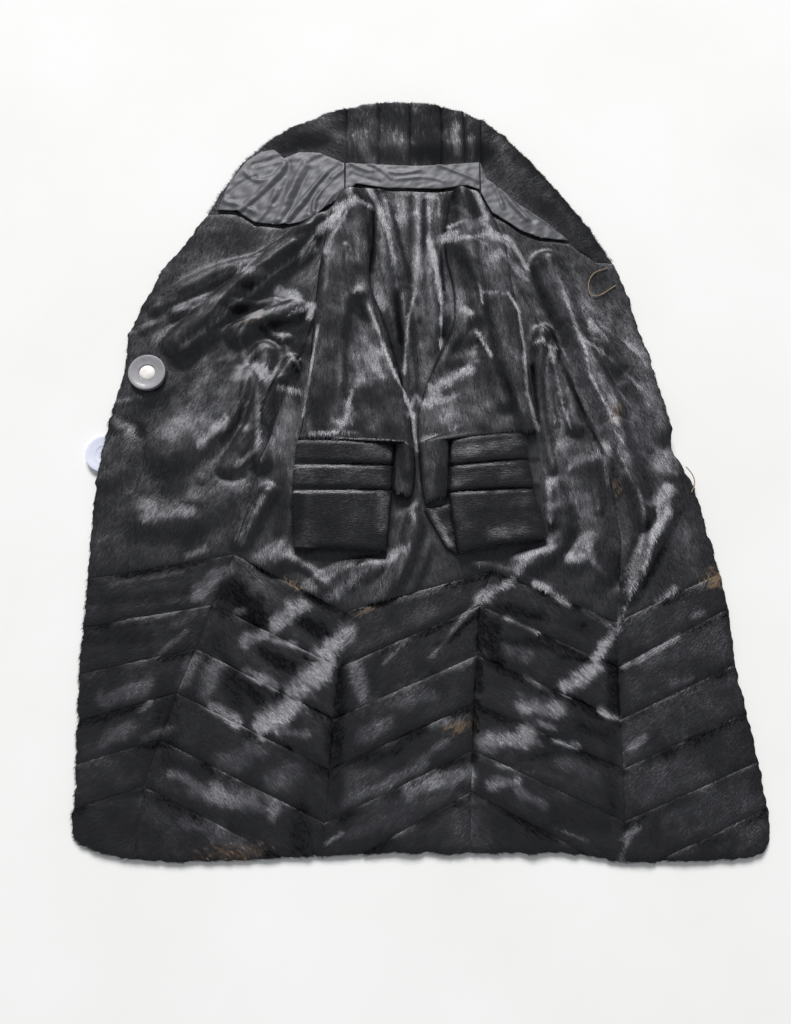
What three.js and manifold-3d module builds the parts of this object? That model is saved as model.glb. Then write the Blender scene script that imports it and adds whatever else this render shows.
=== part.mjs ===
// A woman's black fur coat, laid open on a floor with its fur upwards and its collar away from the hem.
// Millimetres. X runs across the back to the wearer's right front, Y from hem to collar, Z up from the
// floor.
// The fronts are spread to both sides of the back, and both sleeves are folded in over it.

import * as THREE from 'three';
import { mergeVertices } from 'three/addons/utils/BufferGeometryUtils.js';
import Module from 'manifold-3d';

const wasm = await Module();
wasm.setup();

// Driving dimensions
const pelt = 10;             // skin and short pile together, lying flat
const sleeveWall = 9.5;      // the same pelt in a sleeve, pressed a little flatter
const satinWall = 3;         // satin under-collar with its interlining
const seam = 0.3;            // between pieces that are sewn edge to edge
const layer = 0.3;           // between layers that lie on each other
const grooveDepth = 4;       // how far the fur sinks where two skins meet
const rolledEdge = 13;       // how far the collar's rolled edge stands above the flat pelt
const sleeveSlack = 2;       // between a sleeve's two layers where it is pressed flat
const sleeveGive = 1.8;      // how much further they part under a fold
const sleeveBulk = 2 * sleeveWall + sleeveSlack;
const cuffBulk = sleeveBulk + 1;
const facetError = 0.8;      // how far a panel's faces may lie from its folds
const buttonRadius = 29.5;
const buttonThick = 8;
const threadRadius = 1.1;
const boxShift = { x: 7.9, y: -1.2 };   // brings the middle of the whole coat's box to the origin

// Colours and finish of the materials
const furBlack = { color: 0x17171a, roughness: 0.42, metalness: 0 };
const furSheen = { color: 0x26262b, roughness: 0.38, metalness: 0 };
const satinGrey = { color: 0x6c6c75, roughness: 0.35, metalness: 0 };
const buttonGrey = { color: 0x9b9b9f, roughness: 0.3, metalness: 0.1 };
const pearlWhite = { color: 0xe6e4e4, roughness: 0.2, metalness: 0 };
const threadTan = { color: 0xa08a6c, roughness: 0.8, metalness: 0 };

// The coat's edge as it lies, from the left hem corner round past the right one and the collar.
const edge = [
  [-486, -588], [-440, -611], [-361, -620], [-249, -619], [-137, -614], [-25, -610], [88, -610],
  [200, -610], [300, -621], [424, -618], [482, -612], [499, -585], [498, -530], [487, -440],
  [475, -360], [468, -250], [451, -158], [429, -60], [408, -23], [398, 40], [384, 128],
  [364, 195], [347, 268], [307, 354], [247, 444], [171, 538], [115, 589], [46, 616],
  [-20, 624], [-119, 610], [-228, 561], [-288, 508], [-324, 450], [-350, 402], [-379, 354],
  [-414, 306], [-449, 226], [-466, 180], [-466, 130], [-482, 50], [-493, -50], [-498, -110],
  [-498, -240], [-499, -340], [-495, -430], [-490, -530],
];

// Where the collar is sewn to the neck and runs on down the fronts, from left edge to right edge.
const collarSeam = [
  [-520, 402], [-337, 402], [-297, 403], [-266, 381], [-224, 377], [-191, 381], [-161, 399],
  [-118, 436], [-100, 455], [-49, 447], [44, 445], [90, 452], [108, 440], [128, 402],
  [152, 386], [177, 367], [210, 353], [259, 347], [302, 312], [480, 300],
];

// Side seams, from the collar seam down to the skirt.
const leftNeckPoint = 8;
const rightNeckPoint = 12;
const leftSide = [collarSeam[leftNeckPoint], [-151, 243], [-210, 69], [-248, -63], [-277, -180]];
const rightSide = [collarSeam[rightNeckPoint], [173, 261], [261, 76], [303, -47], [315, -158], [300, -283]];

// The skirt's skins meet in zigzag rows. A row gives where it crosses each of the six lengthwise seams.
const skirtRows = [
  { x: [-520, -277, -107, 115, 300, 480], y: [-222, -180, -268, -205, -283, -200] },
  { x: [-520, -305, -114, 96, 297, 490], y: [-295, -257, -350, -258, -350, -252] },
  { x: [-520, -327, -122, 90, 296, 500], y: [-365, -322, -425, -332, -426, -332] },
  { x: [-520, -352, -126, 85, 297, 510], y: [-434, -387, -496, -402, -494, -402] },
  { x: [-520, -373, -131, 81, 294, 520], y: [-497, -453, -568, -468, -566, -472] },
  { x: [-520, -392, -135, 77, 292, 520], y: [-560, -518, -640, -525, -638, -538] },
  { x: [-520, -402, -139, 75, 291, 520], y: [-640, -640, -712, -640, -706, -640] },
];
const skirtColumns = ['front_left', 'side_left', 'back', 'side_right', 'front_right'];

// Folds of the fronts and the back: a rounded ridge along a curve, or a trough where height is negative.
// width is from its crest to its foot, and flat is half the width of a level crest.
const bodyFolds = [
  { from: [-378, 160], via: [-305, 238], to: [-150, 378], height: 30, width: 34, flat: 3 },
  { from: [-415, 231], via: [-330, 284], to: [-250, 306], height: 15, width: 27, flat: 0 },
  { from: [-389, 222], via: [-340, 240], to: [-292, 253], height: 9, width: 22, flat: 0 },
  { from: [-285, 180], via: [-243, 206], to: [-196, 224], height: 20, width: 25, flat: 2 },
  { from: [-240, 150], via: [-250, 40], to: [-288, -48], height: 20, width: 25, flat: 2 },
  { from: [-196, 130], via: [-238, 40], to: [-240, -35], height: 18, width: 22, flat: 0 },
  { from: [-390, -15], via: [-330, 15], to: [-280, 88], height: 12, width: 46, flat: 6 },
  { from: [-415, -125], via: [-350, -122], to: [-295, -84], height: 12, width: 40, flat: 4 },
  { from: [-228, -84], via: [-247, -125], to: [-266, -160], height: 14, width: 22, flat: 0 },
  { from: [-490, 8], via: [-400, 88], to: [-300, 165], height: -4, width: 30, flat: 4 },
  { from: [-488, -20], via: [-488, -20], to: [-487, -20], height: 9.5, width: 34, flat: 38 },
  { from: [219, 305], via: [256, 190], to: [310, 49], height: 28, width: 32, flat: 2 },
  { from: [310, 49], via: [325, -20], to: [350, -122], height: 22, width: 28, flat: 0 },
  { from: [274, 176], via: [330, 130], to: [392, 22], height: 18, width: 34, flat: 3 },
  { from: [208, 178], via: [186, 95], to: [202, -40], height: 22, width: 24, flat: 2 },
  { from: [216, 172], via: [236, 100], to: [252, 25], height: 15, width: 22, flat: 0 },
  { from: [396, -88], via: [374, -140], to: [318, -240], height: 15, width: 24, flat: 0 },
  { from: [238, -22], via: [270, -30], to: [296, -26], height: 8, width: 32, flat: 4 },
  { from: [206, -80], via: [220, -150], to: [168, -196], height: 14, width: 28, flat: 3 },
  { from: [238, -192], via: [272, -168], to: [292, -206], height: 9, width: 28, flat: 0 },
  { from: [8, -108], via: [-20, -190], to: [-54, -258], height: 15, width: 27, flat: 0 },
  { from: [-62, -190], via: [-110, -214], to: [-158, -248], height: 15, width: 28, flat: 2 },
  { from: [-196, -180], via: [-215, -192], to: [-240, -212], height: 14, width: 28, flat: 3 },
  { from: [-73, 462], via: [-45, 380], to: [-24, 281], height: 14, width: 22, flat: 0 },
  { from: [-24, 281], via: [-14, 190], to: [-8, 90], height: 12, width: 20, flat: 0 },
  { from: [27, 420], via: [24, 330], to: [34, 160], height: 13, width: 22, flat: 0 },
];

// A sleeve's plan: left and right edge at each station from shoulder to cuff, and how full it lies there.
const leftSleeve = [
  { left: [-124, 436], right: [-72, 442], bulk: 0.62 },
  { left: [-138, 404], right: [-67, 410], bulk: 0.9 },
  { left: [-150, 340], right: [-66, 345], bulk: 1 },
  { left: [-159, 262], right: [-72, 270], bulk: 1 },
  { left: [-164, 190], right: [-48, 200], bulk: 1 },
  { left: [-169, 120], right: [-28, 130], bulk: 1 },
  { left: [-174, 50], right: [-11, 55], bulk: 1 },
  { left: [-184, -10], right: [-2, -14], bulk: 1 },
  { left: [-188, -50], right: [0, -54], bulk: 0.9 },
  { left: [-188, -88], right: [-6, -92], bulk: 0.8 },
];
const rightSleeve = [
  { left: [66, 441], right: [108, 436], bulk: 0.62 },
  { left: [56, 400], right: [128, 396], bulk: 0.9 },
  { left: [50, 335], right: [150, 340], bulk: 1 },
  { left: [64, 255], right: [160, 262], bulk: 1 },
  { left: [60, 190], right: [173, 196], bulk: 1 },
  { left: [27, 115], right: [180, 126], bulk: 1 },
  { left: [6, 50], right: [186, 58], bulk: 1 },
  { left: [3, -5], right: [192, 2], bulk: 1 },
  { left: [7, -55], right: [198, -48], bulk: 0.9 },
  { left: [14, -102], right: [200, -95], bulk: 0.8 },
];
const sleeveFolds = [
  { from: [-80, 240], via: [-34, 120], to: [-2, -50], height: 13, width: 26, flat: 2 },
  { from: [-148, 300], via: [-160, 170], to: [-166, 60], height: 8, width: 26, flat: 4 },
  { from: [-84, 226], via: [-104, 150], to: [-112, 40], height: -7, width: 20, flat: 3 },
  { from: [-126, 440], via: [-96, 400], to: [-84, 300], height: 9, width: 22, flat: 2 },
  { from: [84, 200], via: [40, 140], to: [8, 60], height: 13, width: 24, flat: 2 },
  { from: [88, 330], via: [106, 210], to: [140, 60], height: 14, width: 24, flat: 2 },
  { from: [140, 300], via: [168, 170], to: [186, 30], height: 9, width: 22, flat: 2 },
  { from: [96, 180], via: [72, 140], to: [48, 112], height: -8, width: 20, flat: 4 },
  { from: [70, 440], via: [84, 400], to: [88, 350], height: 9, width: 22, flat: 2 },
];

// Each cuff is three rings of skin. A ring is given by its two edges, each from left to right.
const leftCuff = [
  { top: [[-184, -2], [-33, -5]], bottom: [[-188, -43], [-35, -44]] },
  { top: [[-188, -43], [-35, -44]], bottom: [[-190, -84], [-36, -84]] },
  { top: [[-190, -84], [-36, -84]], bottom: [[-186, -172], [-44, -178]] },
];
const rightCuff = [
  { top: [[55, 0], [170, 11]], bottom: [[53, -45], [175, -34]] },
  { top: [[53, -45], [175, -34]], bottom: [[51, -87], [181, -81]] },
  { top: [[51, -87], [181, -81]], bottom: [[63, -181], [200, -157]] },
];
// The back half of the right cuff shows beside its front half.
const cuffUnderlap = [[13, -110], [50, -103], [62.5, -181], [46, -171]];

// The collar's satin, and the lengthwise skins of its fur at the back of the neck.
const satinLeft = [
  [-330, 408], [-312, 462], [-285, 502], [-260, 521], [-238, 524], [-221, 508], [-195, 520],
  [-160, 518], [-118, 498], [-117, 440], [-161, 402], [-191, 384], [-224, 380], [-266, 384],
  [-297, 406],
];
const satinNeck = [
  [-116, 498], [-6, 493], [45, 494], [112, 500], [112, 446], [90, 455], [44, 448], [-49, 450],
  [-98, 458], [-116, 441],
];
const satinRight = [
  [113, 499], [125, 466], [179, 418], [219, 386], [258, 350], [210, 356], [177, 370], [152, 389],
  [131, 403], [113, 440],
];
const collarSkins = [-116, -59, -6, 48, 87, 116];
const satinFolds = [
  { from: [-228, 500], via: [-232, 450], to: [-240, 388], height: 4, width: 14, flat: 1 },
  { from: [-196, 515], via: [-198, 450], to: [-204, 388], height: 5, width: 16, flat: 1 },
  { from: [-160, 510], via: [-162, 460], to: [-176, 395], height: 4, width: 14, flat: 1 },
  { from: [-262, 500], via: [-266, 450], to: [-272, 395], height: 4, width: 14, flat: 1 },
  { from: [-110, 470], via: [-10, 480], to: [110, 470], height: 3, width: 14, flat: 2 },
  { from: [126, 455], via: [160, 420], to: [200, 368], height: 4, width: 16, flat: 1 },
];

// The two buttons and the two thread loops that they fasten into.
const upperButton = { x: -427, y: 113, underside: pelt + layer };
const lowerButton = { x: -487, y: -20, underside: 0 };
const upperLoop = [[319, 300], [296, 290], [286, 272], [288, 252], [302, 250], [330, 268]];
const lowerLoop = [[421, -42], [430, -56], [432, -70], [426, -84]];

// Curve of one fold, as straight stretches.
const foldSteps = 8;
function foldPath(fold) {
  const [a, b, c] = [fold.from, fold.via, fold.to].map(([x, y]) => new THREE.Vector2(x, y));
  const middle = b.clone().multiplyScalar(2).sub(a.clone().add(c).multiplyScalar(0.5));
  return new THREE.QuadraticBezierCurve(a, middle, c).getPoints(foldSteps);
}

function distanceToPath(path, x, y) {
  let nearest = Infinity;
  for (let i = 1; i < path.length; i++) {
    const [p, q] = [path[i - 1], path[i]];
    const [dx, dy] = [q.x - p.x, q.y - p.y];
    const length2 = Math.max(dx * dx + dy * dy, 1e-9);
    const t = THREE.MathUtils.clamp(((x - p.x) * dx + (y - p.y) * dy) / length2, 0, 1);
    nearest = Math.min(nearest, Math.hypot(x - p.x - t * dx, y - p.y - t * dy));
  }
  return nearest;
}

// Height that a table of folds adds at a point. Ridges that cross don't pile up: the taller one counts.
function reliefOf(folds) {
  const paths = folds.map((fold) => ({ ...fold, path: foldPath(fold) }));
  return (x, y) => {
    let ridge = 0;
    let trough = 0;
    for (const fold of paths) {
      const away = Math.max(distanceToPath(fold.path, x, y) - fold.flat, 0) / fold.width;
      if (away >= 1) continue;
      const rise = fold.height * 0.5 * (1 + Math.cos(Math.PI * away));
      ridge = Math.max(ridge, rise);
      trough = Math.min(trough, rise);
    }
    return ridge + trough;
  };
}

const bodyRelief = reliefOf(bodyFolds);
const sleeveRelief = reliefOf(sleeveFolds);
const satinRelief = reliefOf(satinFolds);

// Plans of the pieces are closed polygons of [x, y].
const edgePoints = 110;
const edgeKnots = edge.map(([x, y]) => new THREE.Vector3(x, y, 0));
const edgeCurve = new THREE.CatmullRomCurve3(edgeKnots, true, 'centripetal');
const coatEdge = edgeCurve.getSpacedPoints(edgePoints).slice(0, edgePoints).map((p) => [p.x, p.y]);

function sleevePlan(stations) {
  return [...stations.map((s) => s.left), ...stations.map((s) => s.right).reverse()];
}

function cuffPlan(rings) {
  const lefts = [rings[0].top[0], ...rings.map((ring) => ring.bottom[0])];
  const rights = [rings[0].top[1], ...rings.map((ring) => ring.bottom[1])];
  return [...lefts, ...rights.reverse()];
}

function insidePlan(plan, x, y) {
  let inside = false;
  for (let i = 0, j = plan.length - 1; i < plan.length; j = i++) {
    const [[xi, yi], [xj, yj]] = [plan[i], plan[j]];
    if (yi > y !== yj > y && x < ((xj - xi) * (y - yi)) / (yj - yi) + xi) inside = !inside;
  }
  return inside;
}

function distanceToPlan(plan, x, y) {
  if (insidePlan(plan, x, y)) return 0;
  const path = [...plan, plan[0]].map(([px, py]) => ({ x: px, y: py }));
  return distanceToPath(path, x, y);
}

// Solids and plans for joining and cutting
function solidOf(geometry) {
  geometry.deleteAttribute('normal');
  geometry.deleteAttribute('uv');
  const merged = mergeVertices(geometry, 1e-4);
  return new wasm.Manifold(new wasm.Mesh({
    numProp: 3,
    vertProperties: new Float32Array(merged.attributes.position.array),
    triVerts: new Uint32Array(merged.index.array),
  }));
}

const flatness = 0.06;       // faces this close to one plane become one
function geometryOf(solid) {
  const mesh = solid.asOriginal().simplify(flatness).getMesh();
  const geometry = new THREE.BufferGeometry();
  geometry.setAttribute('position', new THREE.BufferAttribute(new Float32Array(mesh.vertProperties), 3));
  geometry.setIndex(new THREE.BufferAttribute(new Uint32Array(mesh.triVerts), 1));
  geometry.computeVertexNormals();
  return geometry;
}

const above = 120;           // higher than any fold
const below = -10;           // lower than the floor
function prism(plan, low = below) {
  const shape = new THREE.Shape(plan.map(([x, y]) => new THREE.Vector2(x, y)));
  const geometry = new THREE.ExtrudeGeometry(shape, { depth: above - low, bevelEnabled: false });
  geometry.translate(0, 0, low);
  return solidOf(geometry);
}

// The plan with every edge moved in by a distance, or out where it is negative. A sharp corner is cut
// short at mitreLimit.
const mitreLimit = 0.35;
function inset(plan, distance) {
  let area = 0;
  plan.forEach(([x, y], i) => {
    const [nx, ny] = plan[(i + 1) % plan.length];
    area += x * ny - nx * y;
  });
  const side = area > 0 ? 1 : -1;
  return plan.map(([x, y], i) => {
    const [px, py] = plan[(i + plan.length - 1) % plan.length];
    const [nx, ny] = plan[(i + 1) % plan.length];
    const a = new THREE.Vector2(x - px, y - py).normalize();
    const b = new THREE.Vector2(nx - x, ny - y).normalize();
    const turn = Math.max(1 + a.dot(b), mitreLimit);
    return [x - (side * distance * (a.y + b.y)) / turn, y + (side * distance * (a.x + b.x)) / turn];
  });
}

// A closed wall over a grid of plan points. at(i, j) gives { x, y, top, under }.
function gridWall(across, along, at) {
  const positions = [];
  const index = [];
  const count = (across + 1) * (along + 1);
  const point = (i, j) => j * (across + 1) + i;
  for (const level of ['top', 'under']) {
    for (let j = 0; j <= along; j++) {
      for (let i = 0; i <= across; i++) {
        const p = at(i, j);
        positions.push(p.x, p.y, p[level]);
      }
    }
  }
  for (let j = 0; j < along; j++) {
    for (let i = 0; i < across; i++) {
      const [a, b, c, d] = [point(i, j), point(i + 1, j), point(i + 1, j + 1), point(i, j + 1)];
      index.push(a, b, c, a, c, d);
      index.push(count + a, count + c, count + b, count + a, count + d, count + c);
    }
  }
  const rim = [];
  for (let i = 0; i < across; i++) rim.push([point(i, 0), point(i + 1, 0)]);
  for (let j = 0; j < along; j++) rim.push([point(across, j), point(across, j + 1)]);
  for (let i = across; i > 0; i--) rim.push([point(i, along), point(i - 1, along)]);
  for (let j = along; j > 0; j--) rim.push([point(0, j), point(0, j - 1)]);
  for (const [a, b] of rim) index.push(a, count + a, b, b, count + a, count + b);
  const geometry = new THREE.BufferGeometry();
  geometry.setAttribute('position', new THREE.BufferAttribute(new Float32Array(positions), 3));
  geometry.setIndex(index);
  return geometry;
}

// A wall that follows a height over a plan: its underside is level on what it lies on, or follows the
// fold. Its surface points lie in rows turned to run along the panel's main folds.
const panelMargin = 2;
function panel(plan, rows, topAt, wall, floor = 0) {
  const turn = THREE.MathUtils.degToRad(rows.turn);
  const [ux, uy] = [Math.cos(turn), Math.sin(turn)];
  const us = plan.map(([x, y]) => x * ux + y * uy);
  const vs = plan.map(([x, y]) => y * ux - x * uy);
  const [u0, u1] = [Math.min(...us) - panelMargin, Math.max(...us) + panelMargin];
  const [v0, v1] = [Math.min(...vs) - panelMargin, Math.max(...vs) + panelMargin];
  const across = Math.ceil((u1 - u0) / rows.along);
  const along = Math.ceil((v1 - v0) / rows.apart);
  const sheet = gridWall(across, along, (i, j) => {
    const u = u0 + ((u1 - u0) * i) / across;
    const v = v0 + ((v1 - v0) * j) / along;
    const [x, y] = [u * ux - v * uy, u * uy + v * ux];
    const top = topAt(x, y);
    return { x, y, top, under: Math.max(floor, top - wall) };
  });
  return solidOf(sheet).asOriginal().simplify(facetError).intersect(prism(inset(plan, seam / 2)));
}

// Layers that lie on the body, and keep its folds down where they press on it
const sleevePlans = [sleevePlan(leftSleeve), sleevePlan(rightSleeve)];
const cuffPlans = [cuffPlan(leftCuff), cuffPlan(rightCuff), cuffUnderlap];
const seatSides = 16;
const seatSpare = 2;
const buttonSeat = Array.from({ length: seatSides }, (_, i) => {
  const turn = (2 * Math.PI * i) / seatSides;
  const radius = buttonRadius + seatSpare;
  return [upperButton.x + radius * Math.cos(turn), upperButton.y + radius * Math.sin(turn)];
});
const seatMargin = 7;
function loopSeat(points) {
  const [xs, ys] = [points.map(([x]) => x), points.map(([, y]) => y)];
  const [x0, x1] = [Math.min(...xs) - seatMargin, Math.max(...xs) + seatMargin];
  const [y0, y1] = [Math.min(...ys) - seatMargin, Math.max(...ys) + seatMargin];
  return [[x0, y0], [x1, y0], [x1, y1], [x0, y1]];
}
const pressed = [...sleevePlans, ...cuffPlans, buttonSeat, loopSeat(upperLoop), loopSeat(lowerLoop)];
const pressedFrom = 2;       // a fold starts to rise this far from what lies on it,
const pressedReach = 26;     // and is at its full height this far away
const sideGap = 0.5;         // beside what lies on a panel
const sleeveRoom = pressed.map((plan) => prism(inset(plan, -sideGap), pelt + layer / 4));

function bodyTop(x, y) {
  const away = Math.min(...pressed.map((plan) => distanceToPlan(plan, x, y)));
  const free = THREE.MathUtils.smoothstep(away, pressedFrom, pressedReach);
  return pelt + bodyRelief(x, y) * free;
}

function clearOfSleeves(solid) {
  return sleeveRoom.reduce((rest, room) => rest.subtract(room), solid);
}

const coatPrism = prism(coatEdge);

// Fronts and back
function withinCoat(plan) {
  return (solid) => clearOfSleeves(solid.intersect(coatPrism));
}

const topRow = skirtRows[0].x.map((x, i) => [x, skirtRows[0].y[i]]);
const leftNeck = collarSeam.slice(0, leftNeckPoint);
const backNeck = collarSeam.slice(leftNeckPoint + 1, rightNeckPoint);
const rightNeck = collarSeam.slice(rightNeckPoint + 1);
const bodyPlans = {
  front_left: [...leftNeck, ...leftSide, topRow[0]],
  back: [...backNeck, ...rightSide, topRow[3], topRow[2], ...[...leftSide].reverse()],
  front_right: [...rightNeck, topRow[5], ...[...rightSide].reverse()],
};

// Rows of surface points: the angle that they run at, and the spacing along a row and between rows.
const bodyRows = {
  front_left: { turn: 44, along: 24, apart: 14 },
  back: { turn: 92, along: 32, apart: 13 },
  front_right: { turn: 113, along: 30, apart: 11 },
};

const pieces = [];
function addPiece(name, geometry, finish) {
  pieces.push({ name, geometry, finish });
}

const buttonGap = 0.6;
const [roomRadius, roomDepth] = [buttonRadius + buttonGap, 2 * (buttonThick + buttonGap)];
const buttonRoom = new THREE.CylinderGeometry(roomRadius, roomRadius, roomDepth, 32);
buttonRoom.rotateX(Math.PI / 2);
buttonRoom.translate(lowerButton.x, lowerButton.y, 0);

for (const [name, plan] of Object.entries(bodyPlans)) {
  let solid = withinCoat(plan)(panel(plan, bodyRows[name], bodyTop, pelt));
  if (name === 'front_left') solid = solid.subtract(solidOf(buttonRoom));
  addPiece(name, geometryOf(solid), furBlack);
}

// Skins of the skirt: crowned strips between two zigzag rows and two lengthwise seams
const skinAcross = 6;
const skinAlong = 4;
const skinCrown = 2;         // a skin's middle stands this far above the flat pelt
const smallestSkin = 2500;   // cubic millimetres
function crown(t) {
  return 1 - Math.pow(Math.abs(2 * t - 1), 3);
}

function skinStrip(corners) {
  const [a, b, c, d] = inset(corners, seam / 2);
  const sheet = gridWall(skinAcross, skinAlong, (i, j) => {
    const [u, v] = [i / skinAcross, j / skinAlong];
    const x = (1 - v) * ((1 - u) * a[0] + u * b[0]) + v * ((1 - u) * d[0] + u * c[0]);
    const y = (1 - v) * ((1 - u) * a[1] + u * b[1]) + v * ((1 - u) * d[1] + u * c[1]);
    const sunk = grooveDepth * (1 - Math.min(crown(u), crown(v)));
    return { x, y, top: pelt + skinCrown - sunk, under: 0 };
  });
  return solidOf(sheet);
}

skirtColumns.forEach((column, c) => {
  for (let r = 0; r + 1 < skirtRows.length; r++) {
    const [upper, lower] = [skirtRows[r], skirtRows[r + 1]];
    const corners = [
      [lower.x[c], lower.y[c]], [lower.x[c + 1], lower.y[c + 1]],
      [upper.x[c + 1], upper.y[c + 1]], [upper.x[c], upper.y[c]],
    ];
    const solid = skinStrip(corners).intersect(coatPrism);
    const size = solid.isEmpty() ? 0 : solid.volume();
    if (size > smallestSkin) addPiece(`skirt_${column}_skin_${r + 1}`, geometryOf(solid), furSheen);
  }
});

// Collar: its fur lies face down, and its edge rolls up over the satin of the under-collar
const rollWidth = 34;
const rollStart = 0.04;      // share of the roll's height, squared, that its outer edge already has
const collarFlat = pelt - 1; // the collar's pelt, pressed where the satin lies on it
const collarTail = { from: 300, to: 380 };   // where the roll rises out of the front, up the front
const coatLoop = [...coatEdge, coatEdge[0]].map(([x, y]) => ({ x, y }));
const satins = [satinLeft, satinNeck, satinRight];
function collarTop(x, y) {
  const toEdge = insidePlan(coatEdge, x, y) ? distanceToPath(coatLoop, x, y) : 0;
  const toSatin = Math.min(...satins.map((plan) => distanceToPlan(plan, x, y)));
  const roll = Math.sqrt(THREE.MathUtils.clamp(toEdge / rollWidth, rollStart, 1));
  const open = THREE.MathUtils.smoothstep(toSatin, 0, rollWidth);
  const tail = THREE.MathUtils.smoothstep(y, collarTail.from, collarTail.to);
  const raised = toSatin > 0 ? pelt - collarFlat + rolledEdge * roll * open : 0;
  return collarFlat + raised * tail + (pelt - collarFlat) * (1 - tail);
}

const collarRows = { turn: 0, along: 17, apart: 17 };
// Straight limits that lie clear of the coat's edge on every side
const beyond = { left: -520, right: 480, high: 660, low: 290 };
const satinGap = 0.4;
const satinRoom = satins.map((plan) => prism(inset(plan, -satinGap), collarFlat + layer / 4));
const collarCorners = [[beyond.right, beyond.high], [beyond.left, beyond.high]];
const collarPrism = prism(inset([...collarSeam, ...collarCorners], seam / 2));
function collarPiece(plan) {
  let solid = panel(plan, collarRows, collarTop, above).intersect(coatPrism).intersect(collarPrism);
  for (const room of satinRoom) solid = solid.subtract(room);
  return clearOfSleeves(solid);
}

// The part of the collar between two lengthwise seams
function collarBetween(x0, x1) {
  return collarPiece([[x0, beyond.low], [x1, beyond.low], [x1, beyond.high], [x0, beyond.high]]);
}

for (let i = 0; i + 1 < collarSkins.length; i++) {
  const skin = collarBetween(collarSkins[i], collarSkins[i + 1]);
  addPiece(`collar_back_skin_${i + 1}`, geometryOf(skin), furBlack);
}
const [backLeft, backRight] = [collarSkins[0], collarSkins[collarSkins.length - 1]];
addPiece('collar_left', geometryOf(collarBetween(beyond.left, backLeft)), furBlack);
addPiece('collar_right', geometryOf(collarBetween(backRight, beyond.right)), furBlack);

// Satin panels, laid on the collar's pelt
const satinRows = { turn: 90, along: 24, apart: 9 };
const satinFloor = collarFlat + layer;
function satinTop(x, y) {
  return satinFloor + satinWall + satinRelief(x, y);
}
['under_collar_left', 'under_collar_neck', 'under_collar_right'].forEach((name, i) => {
  const solid = panel(satins[i], satinRows, satinTop, satinWall, satinFloor);
  const shown = sleevePlans.reduce((rest, plan) => rest.subtract(prism(inset(plan, -sideGap))), solid);
  addPiece(name, geometryOf(shown), satinGrey);
});

// A flattened tube: an outer ring and an inner one at each station, level below and full above
const ringLower = 2;
const rimHeight = 6;         // where the tube's rounded side starts
const sideRound = 0.3;       // how squarely the tube's side is rounded: 1 is a plain arch
const deepestTrough = -3;    // as far as a sleeve's upper layer can sink onto its lower one
function ringPoints(station, inward, wall, relief, ringUpper) {
  const left = new THREE.Vector2(...station.left);
  const right = new THREE.Vector2(...station.right);
  const width = left.distanceTo(right);
  const floor = pelt + layer;
  const points = [];
  const place = (t, z) => {
    const p = left.clone().lerp(right, t);
    points.push([p.x, p.y, z]);
  };
  const margin = inward ? wall / width : 0;
  const highest = (t) => {
    const p = left.clone().lerp(right, t);
    const arch = Math.max(Math.sin(Math.PI * t), 0);
    const full = station.bulk * Math.pow(arch, sideRound);
    const fold = Math.max(relief(p.x, p.y), deepestTrough) * arch;
    return floor + rimHeight + (sleeveBulk - rimHeight) * full + fold;
  };
  for (let i = 0; i <= ringUpper; i++) {
    const t = margin + ((1 - 2 * margin) * i) / ringUpper;
    const low = floor + wall + sleeveSlack;
    const parted = THREE.MathUtils.clamp(highest(t) - wall - low, 0, sleeveGive);
    place(t, inward ? low + parted : highest(t));
  }
  for (let i = 0; i <= ringLower; i++) {
    const t = 1 - margin - ((1 - 2 * margin) * i) / ringLower;
    place(t, inward ? floor + wall : floor);
  }
  return points;
}

// closedHead shuts the tube at its first station, as where a sleeve is sewn into its armhole.
function flatTube(stations, wall, relief, ringUpper, closedHead) {
  const ring = ringUpper + ringLower + 2;
  const positions = [];
  const index = [];
  const innerFrom = closedHead ? 1 : 0;
  const pushRing = (station, inward) => {
    ringPoints(station, inward, wall, relief, ringUpper).forEach((p) => positions.push(...p));
  };
  stations.forEach((station) => pushRing(station, false));
  const innerBase = stations.length * ring;
  stations.slice(innerFrom).forEach((station) => pushRing(station, true));
  const quad = (a, b, c, d, flip) => {
    if (flip) index.push(a, c, b, a, d, c);
    else index.push(a, b, c, a, c, d);
  };
  const lastOuter = stations.length - 1;
  const lastInner = stations.length - 1 - innerFrom;
  for (let s = 0; s < lastOuter; s++) {
    for (let k = 0; k < ring; k++) {
      const n = (k + 1) % ring;
      quad(s * ring + k, s * ring + n, (s + 1) * ring + n, (s + 1) * ring + k, true);
    }
  }
  for (let s = 0; s < lastInner; s++) {
    const base = innerBase + s * ring;
    for (let k = 0; k < ring; k++) {
      const n = (k + 1) % ring;
      quad(base + k, base + n, base + ring + n, base + ring + k, false);
    }
  }
  const rim = (outer, inner, flip) => {
    for (let k = 0; k < ring; k++) {
      const n = (k + 1) % ring;
      quad(outer + k, outer + n, inner + n, inner + k, flip);
    }
  };
  rim(lastOuter * ring, innerBase + lastInner * ring, true);
  if (closedHead) {
    for (let k = 1; k + 1 < ring; k++) {
      index.push(0, k, k + 1);
      index.push(innerBase, innerBase + k + 1, innerBase + k);
    }
  } else {
    rim(0, innerBase, false);
  }
  const geometry = new THREE.BufferGeometry();
  geometry.setAttribute('position', new THREE.BufferAttribute(new Float32Array(positions), 3));
  geometry.setIndex(index);
  return solidOf(geometry);
}

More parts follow.
